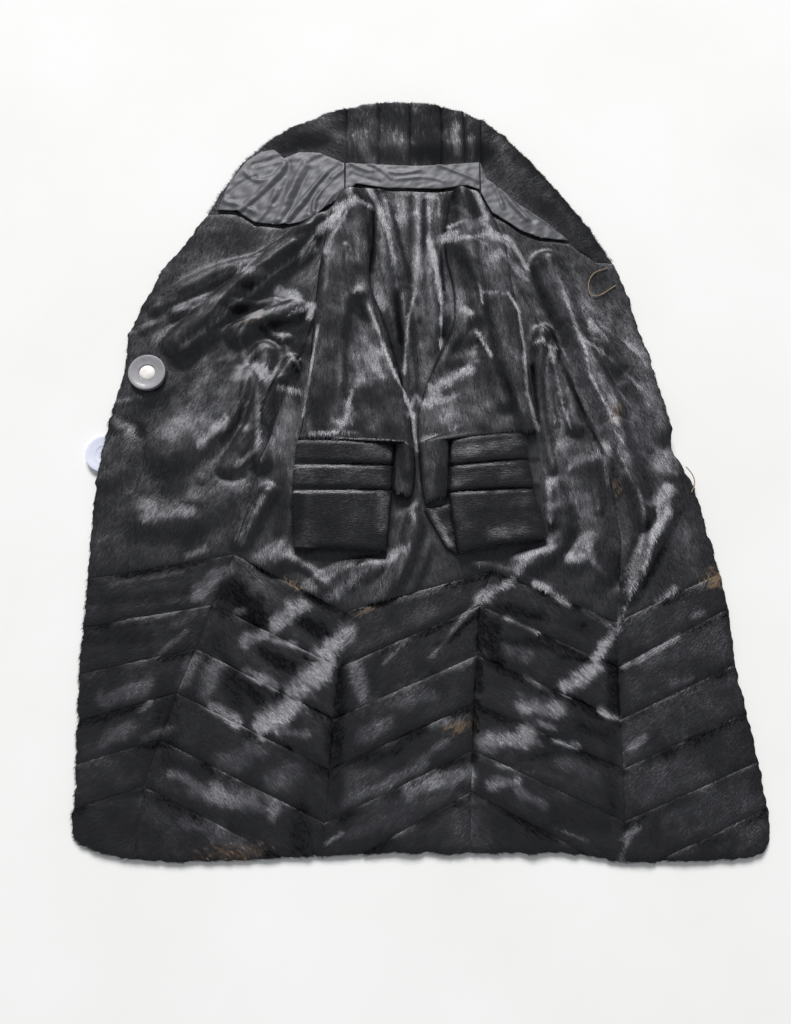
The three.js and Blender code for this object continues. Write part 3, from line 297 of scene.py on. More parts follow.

# Painted highlight and painted shade: a stroke of positive strength lightens the pile's colour and turns its
# normals to where it shines; one of negative strength darkens the colour and turns the normals from the
# light.
# The strokes were placed over the coat as the camera sees it, in pixels of the picture.
SHEEN_AND_SHADE_STROKES = [
    # from x, y, to x, y, half width, strength
    # wearer's left front
    (140, 340, 200, 290, 18, 0.2), (230, 330, 190, 360, 14, 0.22), (230, 390, 180, 440, 20, 0.25),
    (210, 470, 240, 430, 12, 0.2), (120, 460, 110, 530, 20, 0.15), (210, 520, 230, 500, 16, 0.2),
    (280, 265, 305, 280, 12, 0.2), (108, 422, 136, 428, 10, -1.7),
    (150, 307, 190, 292, 2.5, 0.6), (190, 292, 215, 278, 2.5, 0.6), (215, 278, 238, 268, 3, 0.6),
    (240, 267, 264, 272, 6, 0.75), (176, 311, 208, 300, 2.5, 0.5), (208, 300, 240, 288, 2.5, 0.5),
    (243, 284, 252, 284, 5, -1.0), (182, 346, 199, 333, 3, 0.9), (199, 333, 223, 316, 3, 0.8),
    (210, 322, 222, 311, 6, 0.5), (223, 316, 231, 304, 2.5, 0.7), (231, 304, 253, 292, 2.5, 0.7),
    (253, 292, 272, 274, 2.5, 0.9), (272, 274, 298, 256, 2.5, 0.9), (298, 256, 318, 248, 3, 0.7),
    (265, 283, 300, 270, 7, 0.3), (278, 289, 298, 296, 6, 1.1), (236, 308, 270, 300, 5, -0.6),
    (290, 313, 312, 303, 3, 1.0), (309, 317, 314, 306, 4, 1.0), (240, 333, 248, 318, 2, 0.7),
    (248, 318, 262, 311, 2.5, 0.8), (262, 311, 286, 313, 2, 0.5), (270, 325, 305, 325, 10, -0.7),
    (290, 345, 308, 350, 8, -0.8), (240, 340, 247, 360, 3, 0.6), (247, 358, 262, 345, 2.5, 0.7),
    (262, 345, 272, 347, 2, 0.6), (282, 334, 290, 352, 3, 0.7), (290, 352, 300, 367, 2, 0.8),
    (256, 364, 268, 375, 6, 1.1), (266, 382, 278, 368, 3, 0.7), (280, 387, 300, 391, 3.5, 0.9),
    (255, 378, 259, 404, 4, 0.5), (259, 404, 259, 432, 3.5, 0.6), (259, 432, 257, 448, 3.5, 0.9),
    (257, 448, 237, 465, 3, 0.9), (242, 380, 240, 417, 2, -0.6), (240, 417, 221, 442, 2.5, -0.5),
    (275, 380, 263, 404, 1.6, -0.9), (263, 404, 260, 440, 1.6, -0.9), (285, 398, 276, 450, 9, 0.3),
    (270, 410, 263, 450, 3, 0.4), (262, 497, 250, 516, 4, 0.6), (250, 516, 240, 545, 4, 0.5),
    (256, 503, 239, 545, 1.6, -0.9), (283, 480, 280, 530, 8, -0.5), (226, 395, 206, 420, 9, 0.5),
    (200, 400, 172, 428, 10, 0.3), (226, 418, 200, 443, 6, 0.9), (222, 368, 238, 366, 8, -0.9),
    (112, 430, 200, 374, 7, -0.5), (165, 470, 172, 495, 14, -0.5), (190, 540, 200, 530, 9, -0.8),
    (188, 502, 200, 503, 4, -0.6), (146, 516, 192, 510, 6, 0.8), (222, 500, 238, 478, 13, 0.4),
    (208, 462, 196, 480, 8, 0.25), (128, 331, 138, 331, 1.5, 0.6), (116, 400, 142, 396, 2, 0.6),
    (105, 450, 125, 462, 9, 0.25), (275, 556, 308, 548, 7, 0.7), (188, 556, 206, 548, 4, 0.7),
    (300, 580, 345, 590, 10, 0.2), (330, 596, 372, 566, 8, 0.9), (372, 566, 402, 548, 6, 0.8),
    (330, 600, 345, 578, 5, 0.5), (410, 542, 398, 577, 3, 0.6),
    # wearer's left sleeve
    (300, 255, 320, 226, 3, 1.0), (320, 226, 345, 206, 3, 1.1), (332, 236, 347, 210, 2.5, 0.9),
    (347, 208, 356, 198, 4, 0.8), (356, 198, 372, 206, 3, 0.7), (350, 222, 362, 240, 7, 0.35),
    (372, 212, 374, 262, 2.5, -1.0), (328, 258, 325, 288, 2.5, 0.6), (318, 325, 308, 385, 1.8, 0.9),
    (308, 385, 303, 415, 2, 0.8), (333, 300, 328, 400, 8, -0.45), (340, 250, 345, 290, 8, 0.25),
    (355, 292, 346, 340, 3, -1.0), (346, 340, 344, 400, 3, -0.9), (358, 296, 362, 318, 7, -1.0),
    (362, 325, 368, 345, 7, 0.55), (368, 345, 376, 368, 8, 0.65), (352, 350, 362, 372, 6, 0.5),
    (358, 380, 384, 376, 3, 0.8), (369, 305, 380, 335, 1.8, 1.0), (380, 335, 392, 368, 1.8, 1.0),
    (392, 368, 404, 392, 2, 1.1), (404, 392, 413, 415, 2.2, 1.2), (413, 415, 417, 450, 2.5, 1.1),
    (352, 388, 346, 408, 2.5, 1.0), (353, 386, 372, 382, 2, 0.7), (370, 395, 392, 430, 12, -0.6),
    (357, 400, 360, 425, 8, -0.6), (318, 405, 322, 425, 10, -0.8), (310, 433, 337, 431, 2.2, 1.1),
    (337, 431, 352, 406, 2.5, 0.8), (335, 250, 330, 290, 9, 0.2), (365, 335, 372, 370, 13, 0.45),
    (350, 215, 362, 245, 10, 0.3), (300, 330, 296, 400, 5, -0.6), (318, 232, 338, 214, 5, 0.9),
    (335, 208, 350, 200, 4, 0.9), (326, 250, 332, 236, 4, 0.7), (300, 262, 316, 240, 4, 0.8),
    (332, 300, 322, 385, 10, -0.3), (350, 300, 345, 335, 4, -0.7),
    # back between the sleeves
    (384, 200, 392, 285, 8, 0.55), (418, 195, 416, 290, 6, 0.5), (432, 200, 434, 240, 7, 0.6),
    (430, 255, 434, 345, 10, 0.45), (400, 240, 404, 290, 8, 0.25), (425, 345, 412, 385, 10, 0.2),
    (411, 196, 410, 280, 2.5, -0.4), (424, 195, 424, 250, 2, -0.4), (447, 200, 444, 232, 4, -0.8),
    (397, 290, 400, 340, 4, -0.7), (440, 345, 436, 372, 4, -0.6), (385, 310, 392, 345, 5, -0.5),
    (350, 183, 366, 181, 2, 1.0), (366, 181, 378, 204, 3.5, 1.2), (378, 204, 389, 234, 4.5, 1.2),
    (389, 234, 394, 262, 3, 1.1), (394, 262, 397, 286, 2.5, 0.8), (381, 215, 384, 250, 4, 0.8),
    (383, 255, 390, 282, 4, 0.6), (357, 190, 366, 200, 6, -1.0), (369, 225, 372, 270, 2.5, -1.0),
    (378, 285, 384, 306, 6, 0.6), (400, 200, 402, 222, 7, 0.45), (404, 232, 404, 262, 5, 0.15),
    (398, 300, 400, 330, 4, -0.3), (389, 286, 415, 288, 1.2, -0.6), (375, 190, 412, 188, 3, -1.0),
    (418, 192, 418, 235, 3.5, 0.9), (418, 235, 416, 290, 3, 0.8), (415, 290, 408, 320, 2, 0.8),
    (408, 320, 404, 372, 2, 0.9), (428, 190, 430, 240, 2, 1.0), (438, 195, 439, 215, 2, 0.8),
    (433, 195, 434, 225, 4, 0.7), (430, 240, 436, 268, 4, 1.2), (436, 268, 441, 300, 3.5, 1.2),
    (441, 300, 441, 345, 2, 1.0), (428, 280, 430, 340, 7, 0.35), (441, 250, 444, 290, 2, -1.0),
    (449, 190, 446, 230, 3, -0.6), (447, 320, 444, 336, 5, -1.0), (395, 345, 398, 362, 5, -0.9),
    (400, 365, 401, 385, 2, -1.0), (408, 414, 416, 392, 2.5, 1.0), (416, 392, 422, 404, 2, 0.8),
    # wearer's right sleeve
    (470, 235, 500, 275, 26, 0.4),
    (450, 184, 466, 181, 2, 0.8), (466, 181, 477, 192, 3, 0.9), (477, 192, 484, 214, 3, 0.8),
    (455, 190, 452, 225, 6, -1.0), (466, 196, 476, 216, 6, -0.7), (443, 240, 464, 236, 2.2, 1.1),
    (464, 236, 492, 233, 2, 1.1), (492, 233, 509, 238, 3, 1.2), (448, 227, 462, 221, 2.5, 0.9),
    (462, 221, 482, 218, 2.5, 0.8), (484, 222, 492, 230, 2.5, 0.9), (509, 238, 527, 268, 2.5, 0.9),
    (498, 245, 512, 262, 3, 0.5), (515, 272, 528, 280, 2, 0.6), (452, 247, 468, 262, 8, -1.0),
    (468, 262, 486, 310, 3.5, -1.0), (486, 310, 495, 358, 3.5, -1.0), (495, 358, 520, 416, 4.5, -1.0),
    (452, 265, 462, 320, 9, 0.25), (465, 305, 465, 338, 2, 0.5), (480, 285, 482, 300, 2, 0.9),
    (455, 345, 475, 340, 7, -1.0), (450, 365, 470, 362, 6, -1.0), (477, 331, 492, 355, 2, 1.1),
    (480, 291, 508, 292, 1.8, 0.9), (508, 292, 518, 308, 1.8, 1.0), (518, 308, 524, 345, 1.8, 1.1),
    (524, 345, 527, 390, 2, 0.9), (527, 390, 537, 428, 2.5, 0.9), (495, 310, 500, 350, 8, 0.15),
    (505, 300, 514, 345, 4, -0.4), (516, 410, 522, 436, 6, -0.9), (434, 388, 452, 378, 7, 1.0),
    (452, 378, 470, 369, 6, 0.9), (424, 402, 440, 396, 5, 0.8), (440, 402, 456, 394, 3, 0.7),
    (470, 390, 495, 420, 16, 0.25), (445, 415, 480, 425, 8, 0.3), (450, 428, 462, 424, 2, 0.7),
    (450, 275, 466, 330, 11, 0.35), (500, 305, 512, 350, 10, 0.25), (444, 236, 456, 232, 4, 1.0),
    (470, 226, 486, 216, 5, 0.8), (486, 232, 508, 240, 5, 1.0), (500, 250, 520, 272, 4, 0.7),
    (455, 205, 470, 215, 4, 0.4), (540, 290, 546, 330, 5, -0.4),
    # wearer's right front
    (560, 280, 600, 320, 20, 0.5), (575, 365, 630, 440, 34, 0.48), (648, 385, 664, 470, 16, 0.55),
    (625, 330, 645, 370, 12, 0.45),
    (545, 300, 560, 330, 12, 0.2), (600, 330, 640, 420, 20, 0.25), (590, 380, 610, 440, 9, 0.2),
    (560, 440, 590, 520, 18, 0.25), (630, 440, 660, 480, 16, 0.2), (665, 510, 690, 560, 16, 0.25),
    (620, 500, 630, 560, 10, 0.2), (600, 300, 620, 320, 14, 0.15), (634, 540, 622, 585, 4, -0.8),
    (664, 545, 645, 585, 5, -0.6),
    (535, 342, 543, 338, 2, 0.9), (543, 338, 550, 347, 2.5, 1.0), (550, 347, 556, 372, 2.5, 0.9),
    (556, 372, 563, 405, 2.2, 0.9), (563, 405, 571, 426, 2, 0.8), (543, 350, 549, 385, 6, 0.45),
    (532, 365, 538, 420, 2.5, -0.9), (553, 337, 562, 365, 2.5, -1.0), (562, 365, 575, 393, 2.5, -1.0),
    (575, 393, 603, 453, 2.5, -1.0), (558, 277, 567, 300, 2.5, 0.9), (567, 300, 577, 330, 2.5, 1.0),
    (577, 330, 586, 350, 2.5, 1.0), (586, 350, 588, 370, 2, 0.9), (588, 370, 608, 408, 2.2, 1.1),
    (562, 300, 575, 345, 7, 0.3), (555, 420, 570, 455, 8, 0.25), (585, 340, 597, 347, 2, 0.9),
    (597, 347, 613, 360, 2.2, 0.9), (613, 360, 647, 394, 2.2, 0.8), (605, 375, 625, 400, 12, 0.3),
    (630, 400, 650, 420, 8, 0.3), (626, 341, 640, 354, 4, 0.8), (590, 338, 606, 339, 2, 0.6),
    (610, 412, 618, 424, 4, 1.0), (613, 427, 622, 440, 1.5, 0.9), (622, 440, 618, 450, 1.5, 0.8),
    (618, 450, 632, 480, 1.8, 0.7), (603, 440, 608, 485, 2, 0.5), (612, 450, 616, 498, 4, -0.6),
    (637, 487, 644, 510, 2.2, 0.7), (644, 510, 640, 553, 2, 0.6), (649, 500, 647, 530, 3, -0.6),
    (570, 467, 583, 457, 6, 0.8), (583, 457, 600, 455, 4, 0.7), (555, 500, 585, 495, 8, 0.55),
    (549, 480, 550, 517, 4, 0.8), (650, 503, 673, 490, 6, 0.8), (670, 510, 655, 530, 6, 0.8),
    (657, 527, 652, 543, 4, 1.0), (652, 543, 644, 568, 3, 1.0), (644, 568, 628, 597, 2.2, 1.0),
    (628, 597, 617, 627, 2, 0.8), (517, 567, 533, 550, 7, 0.9), (533, 550, 557, 533, 5, 0.8),
    (570, 557, 592, 554, 7, 0.95), (588, 546, 594, 560, 5, 0.9), (594, 560, 606, 574, 3, 0.5),
    (550, 527, 600, 540, 8, -0.4), (600, 590, 615, 560, 10, -0.4), (645, 475, 680, 478, 6, -0.5),
    (533, 582, 550, 590, 4, 0.95), (550, 590, 567, 603, 5, 0.95), (583, 610, 607, 623, 4, 0.6),
    # skirt, wearer's left front and side
    (95, 770, 155, 835, 32, 0.28), (215, 640, 236, 700, 10, -0.4),
    (108, 700, 148, 684, 10, 0.6), (103, 742, 132, 726, 9, 0.5), (145, 738, 172, 726, 5, 0.5),
    (200, 594, 226, 568, 9, 0.6), (111, 584, 183, 571, 3, 0.45), (115, 624, 178, 611, 3, 0.45),
    (156, 656, 187, 631, 4, 0.5), (178, 622, 208, 606, 7, 0.45), (142, 710, 153, 701, 3, 0.7),
    (274, 624, 300, 604, 11, 1.0), (274, 640, 294, 643, 4, 0.8), (322, 652, 346, 632, 12, 1.1),
    (294, 690, 324, 666, 15, 1.1), (262, 726, 294, 704, 14, 1.1), (250, 727, 305, 733, 5, 0.6),
    (245, 640, 262, 634, 8, 0.8), (235, 611, 243, 609, 4, 0.8), (246, 672, 274, 686, 7, 0.9),
    (213, 706, 236, 722, 7, 0.9), (204, 690, 216, 664, 11, 0.5), (184, 680, 194, 660, 9, 0.5),
    (222, 766, 270, 742, 15, 0.45), (272, 782, 300, 765, 14, 0.4), (172, 772, 200, 786, 6, 0.7),
    (195, 790, 230, 800, 9, 0.65), (210, 790, 272, 808, 11, 0.75), (185, 822, 218, 828, 9, 0.5),
    (216, 832, 256, 850, 10, 0.5), (146, 800, 172, 836, 6, 0.2), (232, 590, 262, 622, 14, -1.0),
    (300, 618, 332, 640, 8, -1.0), (262, 650, 300, 672, 8, -0.8), (230, 672, 258, 696, 8, -0.7),
    (304, 656, 344, 672, 3, -1.0), (277, 690, 335, 721, 3, -1.0), (255, 728, 290, 748, 3, -0.8),
    (342, 665, 337, 800, 7, -0.8), (165, 700, 170, 760, 12, -0.4), (300, 810, 300, 850, 12, -0.5),
    (100, 790, 150, 840, 18, -0.3), (92, 600, 190, 590, 6, -0.3), (92, 640, 150, 635, 6, -0.3),
    # skirt, back
    (350, 790, 470, 825, 34, 0.32),
    (357, 668, 364, 698, 9, 0.8), (362, 705, 420, 690, 9, 0.4), (382, 700, 425, 676, 6, 0.4),
    (362, 735, 390, 722, 9, 0.45), (345, 800, 385, 786, 9, 0.55), (385, 784, 425, 764, 8, 0.65),
    (350, 835, 400, 812, 7, 0.4), (328, 842, 344, 832, 3, 0.8), (385, 663, 407, 640, 2, 0.5),
    (360, 650, 400, 628, 8, 0.2), (432, 657, 452, 632, 3, 0.6), (452, 632, 478, 600, 3, 0.8),
    (405, 702, 428, 694, 9, 0.45), (412, 790, 466, 772, 12, 0.75), (408, 772, 446, 740, 5, 0.5),
    (410, 620, 450, 605, 10, 0.2), (444, 669, 483, 652, 4, 0.4), (434, 726, 468, 716, 5, 0.4),
    (460, 795, 482, 802, 6, 0.5), (478, 600, 490, 592, 6, 1.1), (490, 592, 512, 580, 5, 1.0),
    (483, 610, 478, 690, 4, -0.8), (476, 700, 474, 760, 3, -0.7), (330, 730, 334, 790, 8, -0.6),
    (400, 740, 440, 722, 5, -0.6), (440, 645, 480, 612, 4, -0.8), (360, 765, 400, 748, 5, -0.5),
    # skirt, wearer's right side and front
    (505, 618, 522, 625, 4, 0.9), (522, 625, 537, 632, 3, 0.8), (556, 640, 600, 660, 2, 0.4),
    (617, 626, 604, 645, 5, 1.0), (604, 645, 595, 656, 7, 1.1), (594, 668, 566, 686, 10, 1.1),
    (508, 648, 526, 654, 9, 0.5), (522, 674, 551, 694, 3, 0.6), (552, 618, 568, 622, 8, 0.3),
    (525, 706, 556, 708, 12, 0.9), (540, 722, 552, 728, 4, 0.8), (486, 742, 530, 736, 13, 1.0),
    (552, 740, 577, 746, 4, 0.9), (600, 710, 618, 719, 5, 1.0), (493, 764, 532, 772, 2, 0.6),
    (560, 760, 592, 774, 12, 0.4), (490, 783, 515, 782, 7, 0.8), (515, 786, 544, 806, 6, 0.6),
    (556, 828, 588, 840, 1.5, 0.7), (622, 838, 638, 828, 5, 0.7), (620, 860, 630, 832, 4, 0.7),
    (626, 666, 650, 655, 4, 0.8), (650, 655, 678, 636, 4, 0.8), (658, 601, 675, 588, 4, 0.9),
    (692, 616, 704, 613, 3, 0.6), (645, 662, 700, 645, 11, 0.3), (674, 684, 692, 678, 5, 0.5),
    (704, 684, 738, 680, 9, 0.35), (625, 735, 660, 715, 13, 0.3), (628, 748, 644, 738, 6, 0.8),
    (668, 742, 717, 725, 2, 0.4), (650, 620, 720, 640, 30, 0.22), (650, 700, 730, 710, 36, 0.2),
    (640, 775, 745, 815, 46, 0.32), (490, 625, 495, 660, 9, -0.8), (500, 640, 560, 645, 6, -0.6),
    (612, 665, 616, 720, 8, -0.9), (500, 605, 580, 625, 6, -0.6), (560, 692, 600, 715, 5, -0.9),
    (560, 655, 600, 662, 3, -0.9), (540, 690, 565, 695, 3, -0.7), (610, 730, 612, 810, 7, -0.5),
    (580, 725, 605, 735, 7, -0.5), (520, 757, 560, 752, 5, -0.5), (560, 815, 600, 820, 14, -0.4),
    (490, 820, 540, 830, 14, -0.2), (500, 760, 600, 820, 30, 0.18), (550, 600, 590, 606, 4, -0.6),
    # collar and cuffs
    (405, 115, 432, 150, 20, -0.6), (445, 112, 480, 150, 18, -0.5), (262, 140, 350, 112, 16, -0.5),
    (495, 118, 560, 185, 18, -0.6), (560, 185, 600, 240, 12, -0.6), (345, 450, 345, 535, 42, -0.3),
    (497, 450, 497, 535, 42, -0.3),
    (360, 138, 366, 152, 7, 0.5), (300, 112, 490, 108, 9, -0.7), (398, 138, 402, 150, 7, 0.25),
    (455, 126, 458, 154, 5, 0.5), (471, 139, 472, 158, 4, 0.5), (364, 150, 372, 160, 6, 0.5),
    (270, 150, 330, 140, 6, -0.4), (296, 465, 351, 466, 1.8, 0.75),
    (294, 491, 362, 491, 1.8, 0.8), (300, 459, 352, 460, 2.5, -0.8), (355, 464, 390, 464, 4, -1.0),
    (294, 486, 350, 485, 2.5, -0.8), (362, 490, 391, 490, 4, -1.0), (299, 498, 297, 532, 8, -0.9),
    (368, 448, 386, 452, 8, 0.4), (384, 497, 383, 528, 6, 0.5), (345, 470, 380, 480, 7, 0.2),
    (343, 431, 355, 432, 2, 0.7), (455, 452, 515, 442, 6, 0.5), (500, 445, 525, 440, 6, 0.4),
    (450, 465, 538, 459, 3, -1.0), (448, 491, 538, 486, 3, -1.0), (455, 482, 475, 476, 5, 0.4),
    (500, 475, 520, 470, 5, 0.35), (492, 534, 522, 529, 8, 0.45), (450, 505, 530, 500, 6, 0.15),
    (430, 510, 450, 545, 3, 0.8), (440, 470, 440, 500, 6, -0.6), (480, 512, 530, 508, 6, -0.4),
]


def interpolate(value, low, high):
    """0 below low, 1 above high, and a smooth step between them."""
    t = np.clip((value - low) / (high - low), 0, 1)
    return t * t * (3 - 2 * t)


def distance_to_path(path, x, y, closed=False):
    path = np.array(path, float)
    ends = np.roll(path, -1, axis=0) if closed else path[1:]
    starts = path if closed else path[:-1]
    nearest = np.full(x.shape, 1e9)
    for (ax, ay), (bx, by) in zip(starts, ends):
        dx, dy = bx - ax, by - ay
        t = np.clip(((x - ax) * dx + (y - ay) * dy) / max(dx * dx + dy * dy, 1e-9), 0, 1)
        nearest = np.minimum(nearest, np.hypot(x - ax - t * dx, y - ay - t * dy))
    return nearest


def inside(plan, x, y):
    result = np.zeros(x.shape, bool)
    last = plan[-1]
    for point in plan:
        (xi, yi), (xj, yj) = point, last
        crosses = (yi > y) != (yj > y)
        if yi != yj:
            result ^= crosses & (x < (xj - xi) * (y - yi) / (yj - yi) + xi)
        last = point
    return result


def distance_to_plan(plan, x, y):
    return np.where(inside(plan, x, y), 0, distance_to_path(plan, x, y, closed=True))


def fold_path(start, via, end):
    a, b, c = (np.array(p, float) for p in (start, via, end))
    control = 2 * b - (a + c) / 2
    t = np.linspace(0, 1, 11)[:, None]
    return (1 - t) ** 2 * a + 2 * t * (1 - t) * control + t ** 2 * c


def relief(folds, x, y):
    ridge = np.zeros(x.shape)
    trough = np.zeros(x.shape)
    for start, via, end, height, width, flat in folds:
        away = np.maximum(distance_to_path(fold_path(start, via, end), x, y) - flat, 0) / width
        rise = np.where(away < 1, height * 0.5 * (1 + np.cos(np.pi * np.minimum(away, 1))), 0)
        ridge = np.maximum(ridge, rise)
        trough = np.minimum(trough, rise)
    return ridge + trough


RIPPLE_WAVES = 9


def ripple(x, y, size, seed):
    """Smooth unevenness of about one unit, whose bumps are about size across."""
    random = np.random.default_rng(seed)
    total = np.zeros(np.shape(x))
    for _ in range(RIPPLE_WAVES):
        turn = random.uniform(0, 2 * np.pi)
        wave = 2 * np.pi / (size * random.uniform(1.4, 3.2))
        phase = random.uniform(0, 2 * np.pi)
        total += np.sin(wave * (x * np.cos(turn) + y * np.sin(turn)) + phase)
    return total / math.sqrt(RIPPLE_WAVES / 2)


def closed_curve(points, step):
    """A smooth closed line through the points, in stretches of about step."""
    p = np.array(points, float)
    line = []
    count = len(p)
    for i in range(count):
        p0, p1, p2, p3 = p[i - 1], p[i], p[(i + 1) % count], p[(i + 2) % count]
        d0, d1, d2 = (math.sqrt(np.linalg.norm(b - a)) for a, b in ((p0, p1), (p1, p2), (p2, p3)))
        m1 = ((p1 - p0) / d0 - (p2 - p0) / (d0 + d1) + (p2 - p1) / d1) * d1
        m2 = ((p2 - p1) / d1 - (p3 - p1) / (d1 + d2) + (p3 - p2) / d2) * d1
        pieces = max(int(np.linalg.norm(p2 - p1) / step), 1)
        for t in np.arange(pieces) / pieces:
            a = 2 * t ** 3 - 3 * t ** 2 + 1
            b = t ** 3 - 2 * t ** 2 + t
            c = -2 * t ** 3 + 3 * t ** 2
            d = t ** 3 - t ** 2
            line.append(a * p1 + b * m1 + c * p2 + d * m2)
    return np.array(line)


def dense(plan, step):
    """A closed plan with points at least every step."""
    line = []
    for i in range(len(plan)):
        a, b = np.array(plan[i], float), np.array(plan[(i + 1) % len(plan)], float)
        stretches = max(int(math.ceil(np.linalg.norm(b - a) / step)), 1)
        for k in range(stretches):
            line.append(a + (b - a) * k / stretches)
    return np.array(line)


def distance_to_points(points, x, y):
    away = np.full(x.shape, 1e9)
    for start in range(0, len(points), 400):
        block = points[start:start + 400]
        gap = np.hypot(x[:, None] - block[None, :, 0], y[:, None] - block[None, :, 1])
        away = np.minimum(away, gap.min(1))
    return away


def past_ends(line):
    """The line with one more point straight past each end."""
    return np.vstack([2 * line[0] - line[1], line, 2 * line[-1] - line[-2]])


def between(p0, p1, p2, p3, t):
    """A smooth line from p1 to p2, which goes on to p0 and p3."""
    return 0.5 * (2 * p1 + (p2 - p0) * t + (2 * p0 - 5 * p1 + 4 * p2 - p3) * t * t
                  + (3 * p1 - p0 - 3 * p2 + p3) * t ** 3)


def inset(plan, distance):
    """A closed plan, drawn in by a distance all round."""
    p = np.array(plan, float)
    area = np.sum(p[:, 0] * np.roll(p[:, 1], -1) - np.roll(p[:, 0], -1) * p[:, 1])
    side = 1 if area > 0 else -1
    before = p - np.roll(p, 1, axis=0)
    after = np.roll(p, -1, axis=0) - p
    before /= np.linalg.norm(before, axis=1)[:, None]
    after /= np.linalg.norm(after, axis=1)[:, None]
    turn = np.maximum(1 + np.sum(before * after, axis=1), 0.35)
    out = p.copy()
    out[:, 0] -= side * distance * (before[:, 1] + after[:, 1]) / turn
    out[:, 1] += side * distance * (before[:, 0] + after[:, 0]) / turn
    return out


def uneven_edge(line):
    """Fur never ends in a clean line: the edge wanders by a millimetre or two."""
    before, after = np.roll(line, 1, axis=0), np.roll(line, -1, axis=0)
    along = after - before
    along /= np.linalg.norm(along, axis=1)[:, None]
    wander = 0.8 * ripple(line[:, 0], line[:, 1], 16, 5) + 0.6 * ripple(line[:, 0], line[:, 1], 7, 6)
    outward = np.stack([along[:, 1], -along[:, 0]], axis=1)
    return line + outward * (np.clip(wander, -2.4, 2.4) - EDGE_INSET)[:, None]


EDGE_INSET = 1.5
EDGE_LINE = uneven_edge(closed_curve(COAT_EDGE, 4.0))

pieces = {}


def add_piece(name, mesh):
    piece = bpy.data.objects.new(name, mesh)
    bpy.context.scene.collection.objects.link(piece)
    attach(piece, "root")
    return piece


def new_piece(name, points, faces, material):
    mesh = bpy.data.meshes.new(name)
    mesh.from_pydata(metres(points).tolist(), [], faces)
    mesh.polygons.foreach_set("use_smooth", [True] * len(mesh.polygons))
    mesh.materials.append(material)
    mesh.validate()
    mesh.update()
    return add_piece(name, mesh)


NEAR = 9


def in_or_near(plan, line):
    """Which points of a line are inside a plan or close to it."""
    low, high = plan.min(0) - NEAR, plan.max(0) + NEAR
    wanted = np.all((line > low) & (line < high), axis=1)
    x, y = line[wanted].T
    wanted[wanted] = inside(plan, x, y) | (distance_to_path(plan, x, y, closed=True) < NEAR)
    return wanted


def plan_mesh(plan, step, within_edge, row_offsets):
    """Triangles over a plan, cut to the coat's edge, with closer rows of points along its rim."""
    rim = dense(plan, min(step, 4.0))
    lines = [rim]
    low, high = rim.min(0) - 10, rim.max(0) + 10
    wanted = [np.ones(len(rim), bool)]
    if within_edge:
        lines.append(EDGE_LINE)
        wanted = [in_or_near(EDGE_LINE, rim), in_or_near(rim, EDGE_LINE)]
    points, edges = [], []
    for line, kept in zip(lines, wanted):
        number = {}
        for a in range(len(line)):
            b = (a + 1) % len(line)
            if not (kept[a] and kept[b]):
                continue
            for k in (a, b):
                if k not in number:
                    number[k] = len(points)
                    points.append(tuple(line[k]))
            edges.append((number[a], number[b]))

    def is_in(x, y):
        held = inside(rim, x, y)
        return held & inside(EDGE_LINE, x, y) if within_edge else held

    def to_rim(x, y):
        away = distance_to_path(rim, x, y, closed=True)
        if within_edge:
            near_edge = EDGE_LINE[np.all((EDGE_LINE > low - 40) & (EDGE_LINE < high + 40), axis=1)]
            away = np.minimum(away, distance_to_points(near_edge, x, y))
        return away

    for offset in row_offsets:
        for line in lines:
            along = np.roll(line, -1, axis=0) - np.roll(line, 1, axis=0)
            along /= np.maximum(np.linalg.norm(along, axis=1), 1e-9)[:, None]
            for side in (1, -1):
                row = line + side * offset * np.stack([-along[:, 1], along[:, 0]], axis=1)
                row = row[np.all((row > low) & (row < high), axis=1)]
                row = row[is_in(row[:, 0], row[:, 1])]
                row = row[to_rim(row[:, 0], row[:, 1]) > 0.8 * offset]
                points.extend(map(tuple, row))
    columns = np.arange(low[0], high[0], step)
    rows = np.arange(low[1], high[1], step * 0.866)
    gx, gy = np.meshgrid(columns, rows)
    gx = gx + (np.arange(len(rows)) % 2)[:, None] * step / 2
    gx, gy = gx.ravel(), gy.ravel()
    good = is_in(gx, gy)
    gx, gy = gx[good], gy[good]
    good = to_rim(gx, gy) > row_offsets[-1] + 0.55 * step
    points.extend(zip(gx[good], gy[good]))
    made = delaunay_2d_cdt([Vector(p) for p in points], edges, [], 0, 1e-4, False)
    verts = np.array([tuple(v) for v in made[0]])
    tris = np.array([f for f in made[2] if len(f) == 3])
    middle = verts[tris].mean(axis=1)
    tris = tris[is_in(middle[:, 0], middle[:, 1])]
    a, b, c = verts[tris[:, 0]], verts[tris[:, 1]], verts[tris[:, 2]]
    area = (b[:, 0] - a[:, 0]) * (c[:, 1] - a[:, 1]) - (c[:, 0] - a[:, 0]) * (b[:, 1] - a[:, 1])
    tris[area < 0] = tris[area < 0][:, ::-1]
    tris = tris[np.abs(area) > 1e-6]
    used, tris = np.unique(tris, return_inverse=True)
    tris = tris.reshape(-1, 3)
    verts = verts[used]
    return verts, tris, to_rim(verts[:, 0], verts[:, 1])


def rim_edges(tris):
    """The directed edges that only one triangle has."""
    edges = np.concatenate([tris[:, [0, 1]], tris[:, [1, 2]], tris[:, [2, 0]]])
    key = np.sort(edges, axis=1)
    _, first, count = np.unique(key, axis=0, return_index=True, return_counts=True)
    return edges[first[count == 1]]


def vertex_normals(points, tris):
    a, b, c = points[tris[:, 0]], points[tris[:, 1]], points[tris[:, 2]]
    faces = np.cross(b - a, c - a)
    normals = np.zeros_like(points)
    for k in range(3):
        np.add.at(normals, tris[:, k], faces)
    return normals / np.maximum(np.linalg.norm(normals, axis=1), 1e-12)[:, None]


